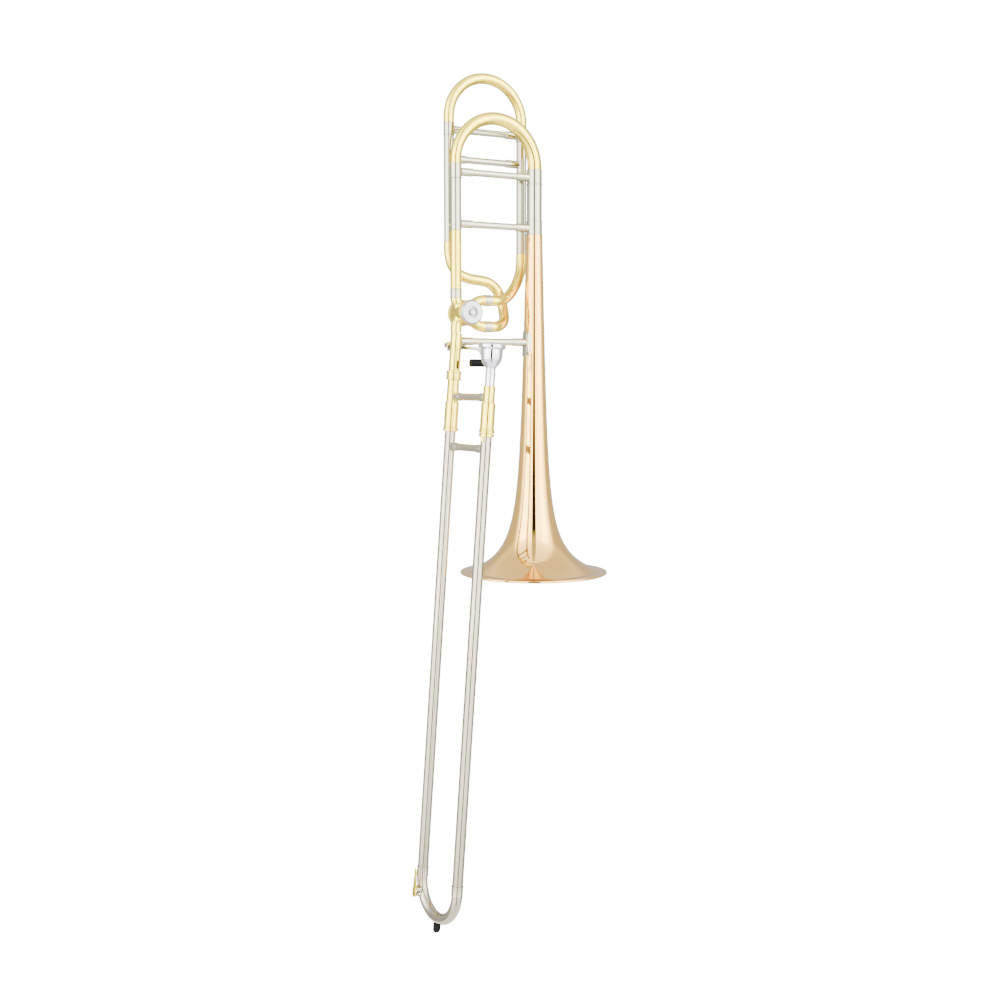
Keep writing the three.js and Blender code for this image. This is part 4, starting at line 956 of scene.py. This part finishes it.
def water_key():
    cup = shifted(moved(post(3.8, -17.1, -15.3, 0.5), ALONG_X), 0, KEY_Y, NIPPLE_Z)
    barrel = shifted(moved(pipe(2.5, 1.3, -4.2, 4.2, 0.3, 32), ALONG_Y), PIN_X, KEY_Y, PIN_Z)
    stem = block((1.8, 8.4, 11), (-16.2, KEY_Y, PIN_Z - 3.5), 0.6)
    return joined(cup, barrel, stem, key_blade())


piece("water_key", water_key(), "water_key_group", "yellow_brass", matrix=SLIDE)


def lock_ring():
    ring = pipe(10.4, 8.4, -134.4, -129.9, 0.6)
    hook = block((3.1, 5, 8), (-9.2, 0, -137.4), 0.8)
    return moved(joined(ring, hook), Matrix.Rotation(math.radians(20), 4, "Z"))


piece("slide_lock_ring", lock_ring(), "lock_ring", "yellow_brass", matrix=RIGHT_LEG)

# Mouthpiece.


def mouthpiece():
    top = -8.1
    shank = [(5.1, -85.6), (5.8, -85.6), (6.7, -65.6)]
    neck = [
        (7.0, top - 46), (7.15, top - 43), (6.9, top - 40), (6.65, top - 37), (6.6, top - 34.5),
        (6.9, top - 33), (7.8, top - 31.5),
    ]
    body = [
        (9.9, top - 29.4), (12.5, top - 26), (14.3, top - 21.5), (15.1, top - 16),
        (15.2, top - 12), (15.3, top - 8.4), (15.8, top - 7.3),
    ]
    rim = [
        (17.6, top - 6.9), (18.6, top - 6), (18.8, top - 4.6), (18.8, top - 2.8),
        (18.3, top - 1.4), (17.3, top - 0.4), (15.8, top), (14.3, top - 0.4), (13.2, top - 1.4),
    ]
    cup = [
        (12.7, top - 3), (12.4, top - 6), (11.4, top - 10), (8.6, top - 17), (4.8, top - 23),
        (3.4, top - 27), (3.3, top - 33),
    ]
    return turned(rounded(shank + neck + body + rim + cup, 0.8), sides=96)


piece("mouthpiece", mouthpiece(), "mouthpiece_body", "silver_plate", matrix=RIGHT_LEG, sharp=60)

# Studio.

# Lengths are in metres from here.

HEADING = math.radians(27.41)
PITCH = math.radians(4.90)
GLOW_STRENGTH = 8.0
BACKDROP_STRENGTH = 17.0
FLOOR_R = 1.15
FLOOR_HEIGHT = -1.25
LIGHT_SIZE = (1.6, 2.6)
LIGHT_POWER = 40
LIT_POINT = Vector((0, 0, 0.1))

scene = bpy.context.scene
lens = bpy.data.cameras.new("camera")
lens.lens = 46.77
lens.sensor_width = 36
lens.clip_start = 0.05
lens.clip_end = 60
camera = bpy.data.objects.new("camera", lens)
scene.collection.objects.link(camera)
camera.location = (-0.9172, -1.6647, 0.2707)
level = math.cos(PITCH)
aim = Vector((math.sin(HEADING) * level, math.cos(HEADING) * level, -math.sin(PITCH)))
camera.rotation_mode = "QUATERNION"
camera.rotation_quaternion = aim.to_track_quat("-Z", "Y")
scene.camera = camera


def worked_out(nodes, links, operation, *inputs):
    """A Math node's output. Each input is a number or another node's output."""
    node = nodes.new("ShaderNodeMath")
    node.operation = operation
    for socket, value in zip(node.inputs, inputs):
        if isinstance(value, bpy.types.NodeSocket):
            links.new(value, socket)
        else:
            socket.default_value = value
    return node.outputs["Value"]


def blended(nodes, links, mode, one, two):
    """Two colours multiplied or added, at full strength."""
    first, second, result = 6, 7, 2  # The Mix node's colour sockets share their names with others.
    node = nodes.new("ShaderNodeMix")
    node.data_type = "RGBA"
    node.blend_type = mode
    node.inputs["Factor"].default_value = 1
    links.new(one, node.inputs[first])
    links.new(two, node.inputs[second])
    return node.outputs[result]


def studio_world():
    """A glow by direction: dark in a narrow strip behind the camera, white at the sides, dim ahead.

    It is brightest near the horizon. The camera itself sees plain white.
    """
    world = bpy.data.worlds.new("studio")
    scene.world = world
    world.use_nodes = True
    nodes, links = world.node_tree.nodes, world.node_tree.links
    place = nodes.new("ShaderNodeTexCoord").outputs["Generated"]
    turn = nodes.new("ShaderNodeMapping")
    turn.inputs["Rotation"].default_value = (0, 0, HEADING)
    links.new(place, turn.inputs["Vector"])
    parts = nodes.new("ShaderNodeSeparateXYZ")
    links.new(turn.outputs["Vector"], parts.inputs["Vector"])
    behind = worked_out(nodes, links, "MULTIPLY", parts.outputs["Y"], -1)
    angle = worked_out(nodes, links, "ARCTAN2", parts.outputs["X"], behind)
    size = worked_out(nodes, links, "ABSOLUTE", angle)
    share = worked_out(nodes, links, "DIVIDE", size, math.pi)
    tone = ramp(nodes, links, share, [
        (0.0, (0.004, 0.003, 0.002)), (0.051, (0.006, 0.005, 0.004)), (0.061, 1.0), (0.36, 1.0),
        (0.44, 0.72), (0.50, 0.22), (0.56, 0.14), (1.0, 0.11),
    ])
    height = worked_out(nodes, links, "MULTIPLY_ADD", parts.outputs["Z"], 0.5, 0.5)
    band = ramp(nodes, links, height, [
        (0.0, 0.2), (0.25, 0.38), (0.40, 0.8), (0.46, 1.0), (0.72, 1.0), (0.88, 0.36), (1.0, 0.22),
    ])
    fill = ramp(nodes, links, height, [
        (0.0, 0.10), (0.32, 0.06), (0.42, 0.0), (0.72, 0.0), (0.80, 0.13), (1.0, 0.15),
    ])
    lit = blended(nodes, links, "ADD", blended(nodes, links, "MULTIPLY", tone, band), fill)
    glow = nodes["Background"]
    links.new(lit, glow.inputs["Color"])
    glow.inputs["Strength"].default_value = GLOW_STRENGTH
    plain = nodes.new("ShaderNodeBackground")
    plain.inputs["Color"].default_value = (1, 1, 1, 1)
    plain.inputs["Strength"].default_value = BACKDROP_STRENGTH
    rays = nodes.new("ShaderNodeLightPath")
    choose = nodes.new("ShaderNodeMixShader")
    links.new(rays.outputs["Is Camera Ray"], choose.inputs["Fac"])
    links.new(glow.outputs["Background"], choose.inputs[1])
    links.new(plain.outputs["Background"], choose.inputs[2])
    links.new(choose.outputs["Shader"], nodes["World Output"].inputs["Surface"])


studio_world()


def floor():
    bm = bmesh.new()
    bmesh.ops.create_circle(bm, cap_ends=True, segments=96, radius=FLOOR_R)
    mesh = bpy.data.meshes.new("floor")
    bm.to_mesh(mesh)
    bm.free()
    made = bpy.data.objects.new("floor", mesh)
    made.location = (0, 0, FLOOR_HEIGHT)
    scene.collection.objects.link(made)
    white = bpy.data.materials.new("floor")
    white.use_nodes = True
    surface = white.node_tree.nodes["Principled BSDF"]
    surface.inputs["Base Color"].default_value = (0.95, 0.95, 0.95, 1)
    surface.inputs["Roughness"].default_value = 0.9
    mesh.materials.append(white)


floor()


def soft_light(name, place):
    light = bpy.data.lights.new(name, "AREA")
    light.shape = "RECTANGLE"
    light.size, light.size_y = LIGHT_SIZE
    light.energy = LIGHT_POWER
    made = bpy.data.objects.new(name, light)
    made.location = place
    made.rotation_mode = "QUATERNION"
    made.rotation_quaternion = (LIT_POINT - Vector(place)).to_track_quat("-Z", "Y")
    scene.collection.objects.link(made)


soft_light("left_light", (-3.2, -0.6, 0.9))
soft_light("right_light", (1.4, -3.0, 1.2))
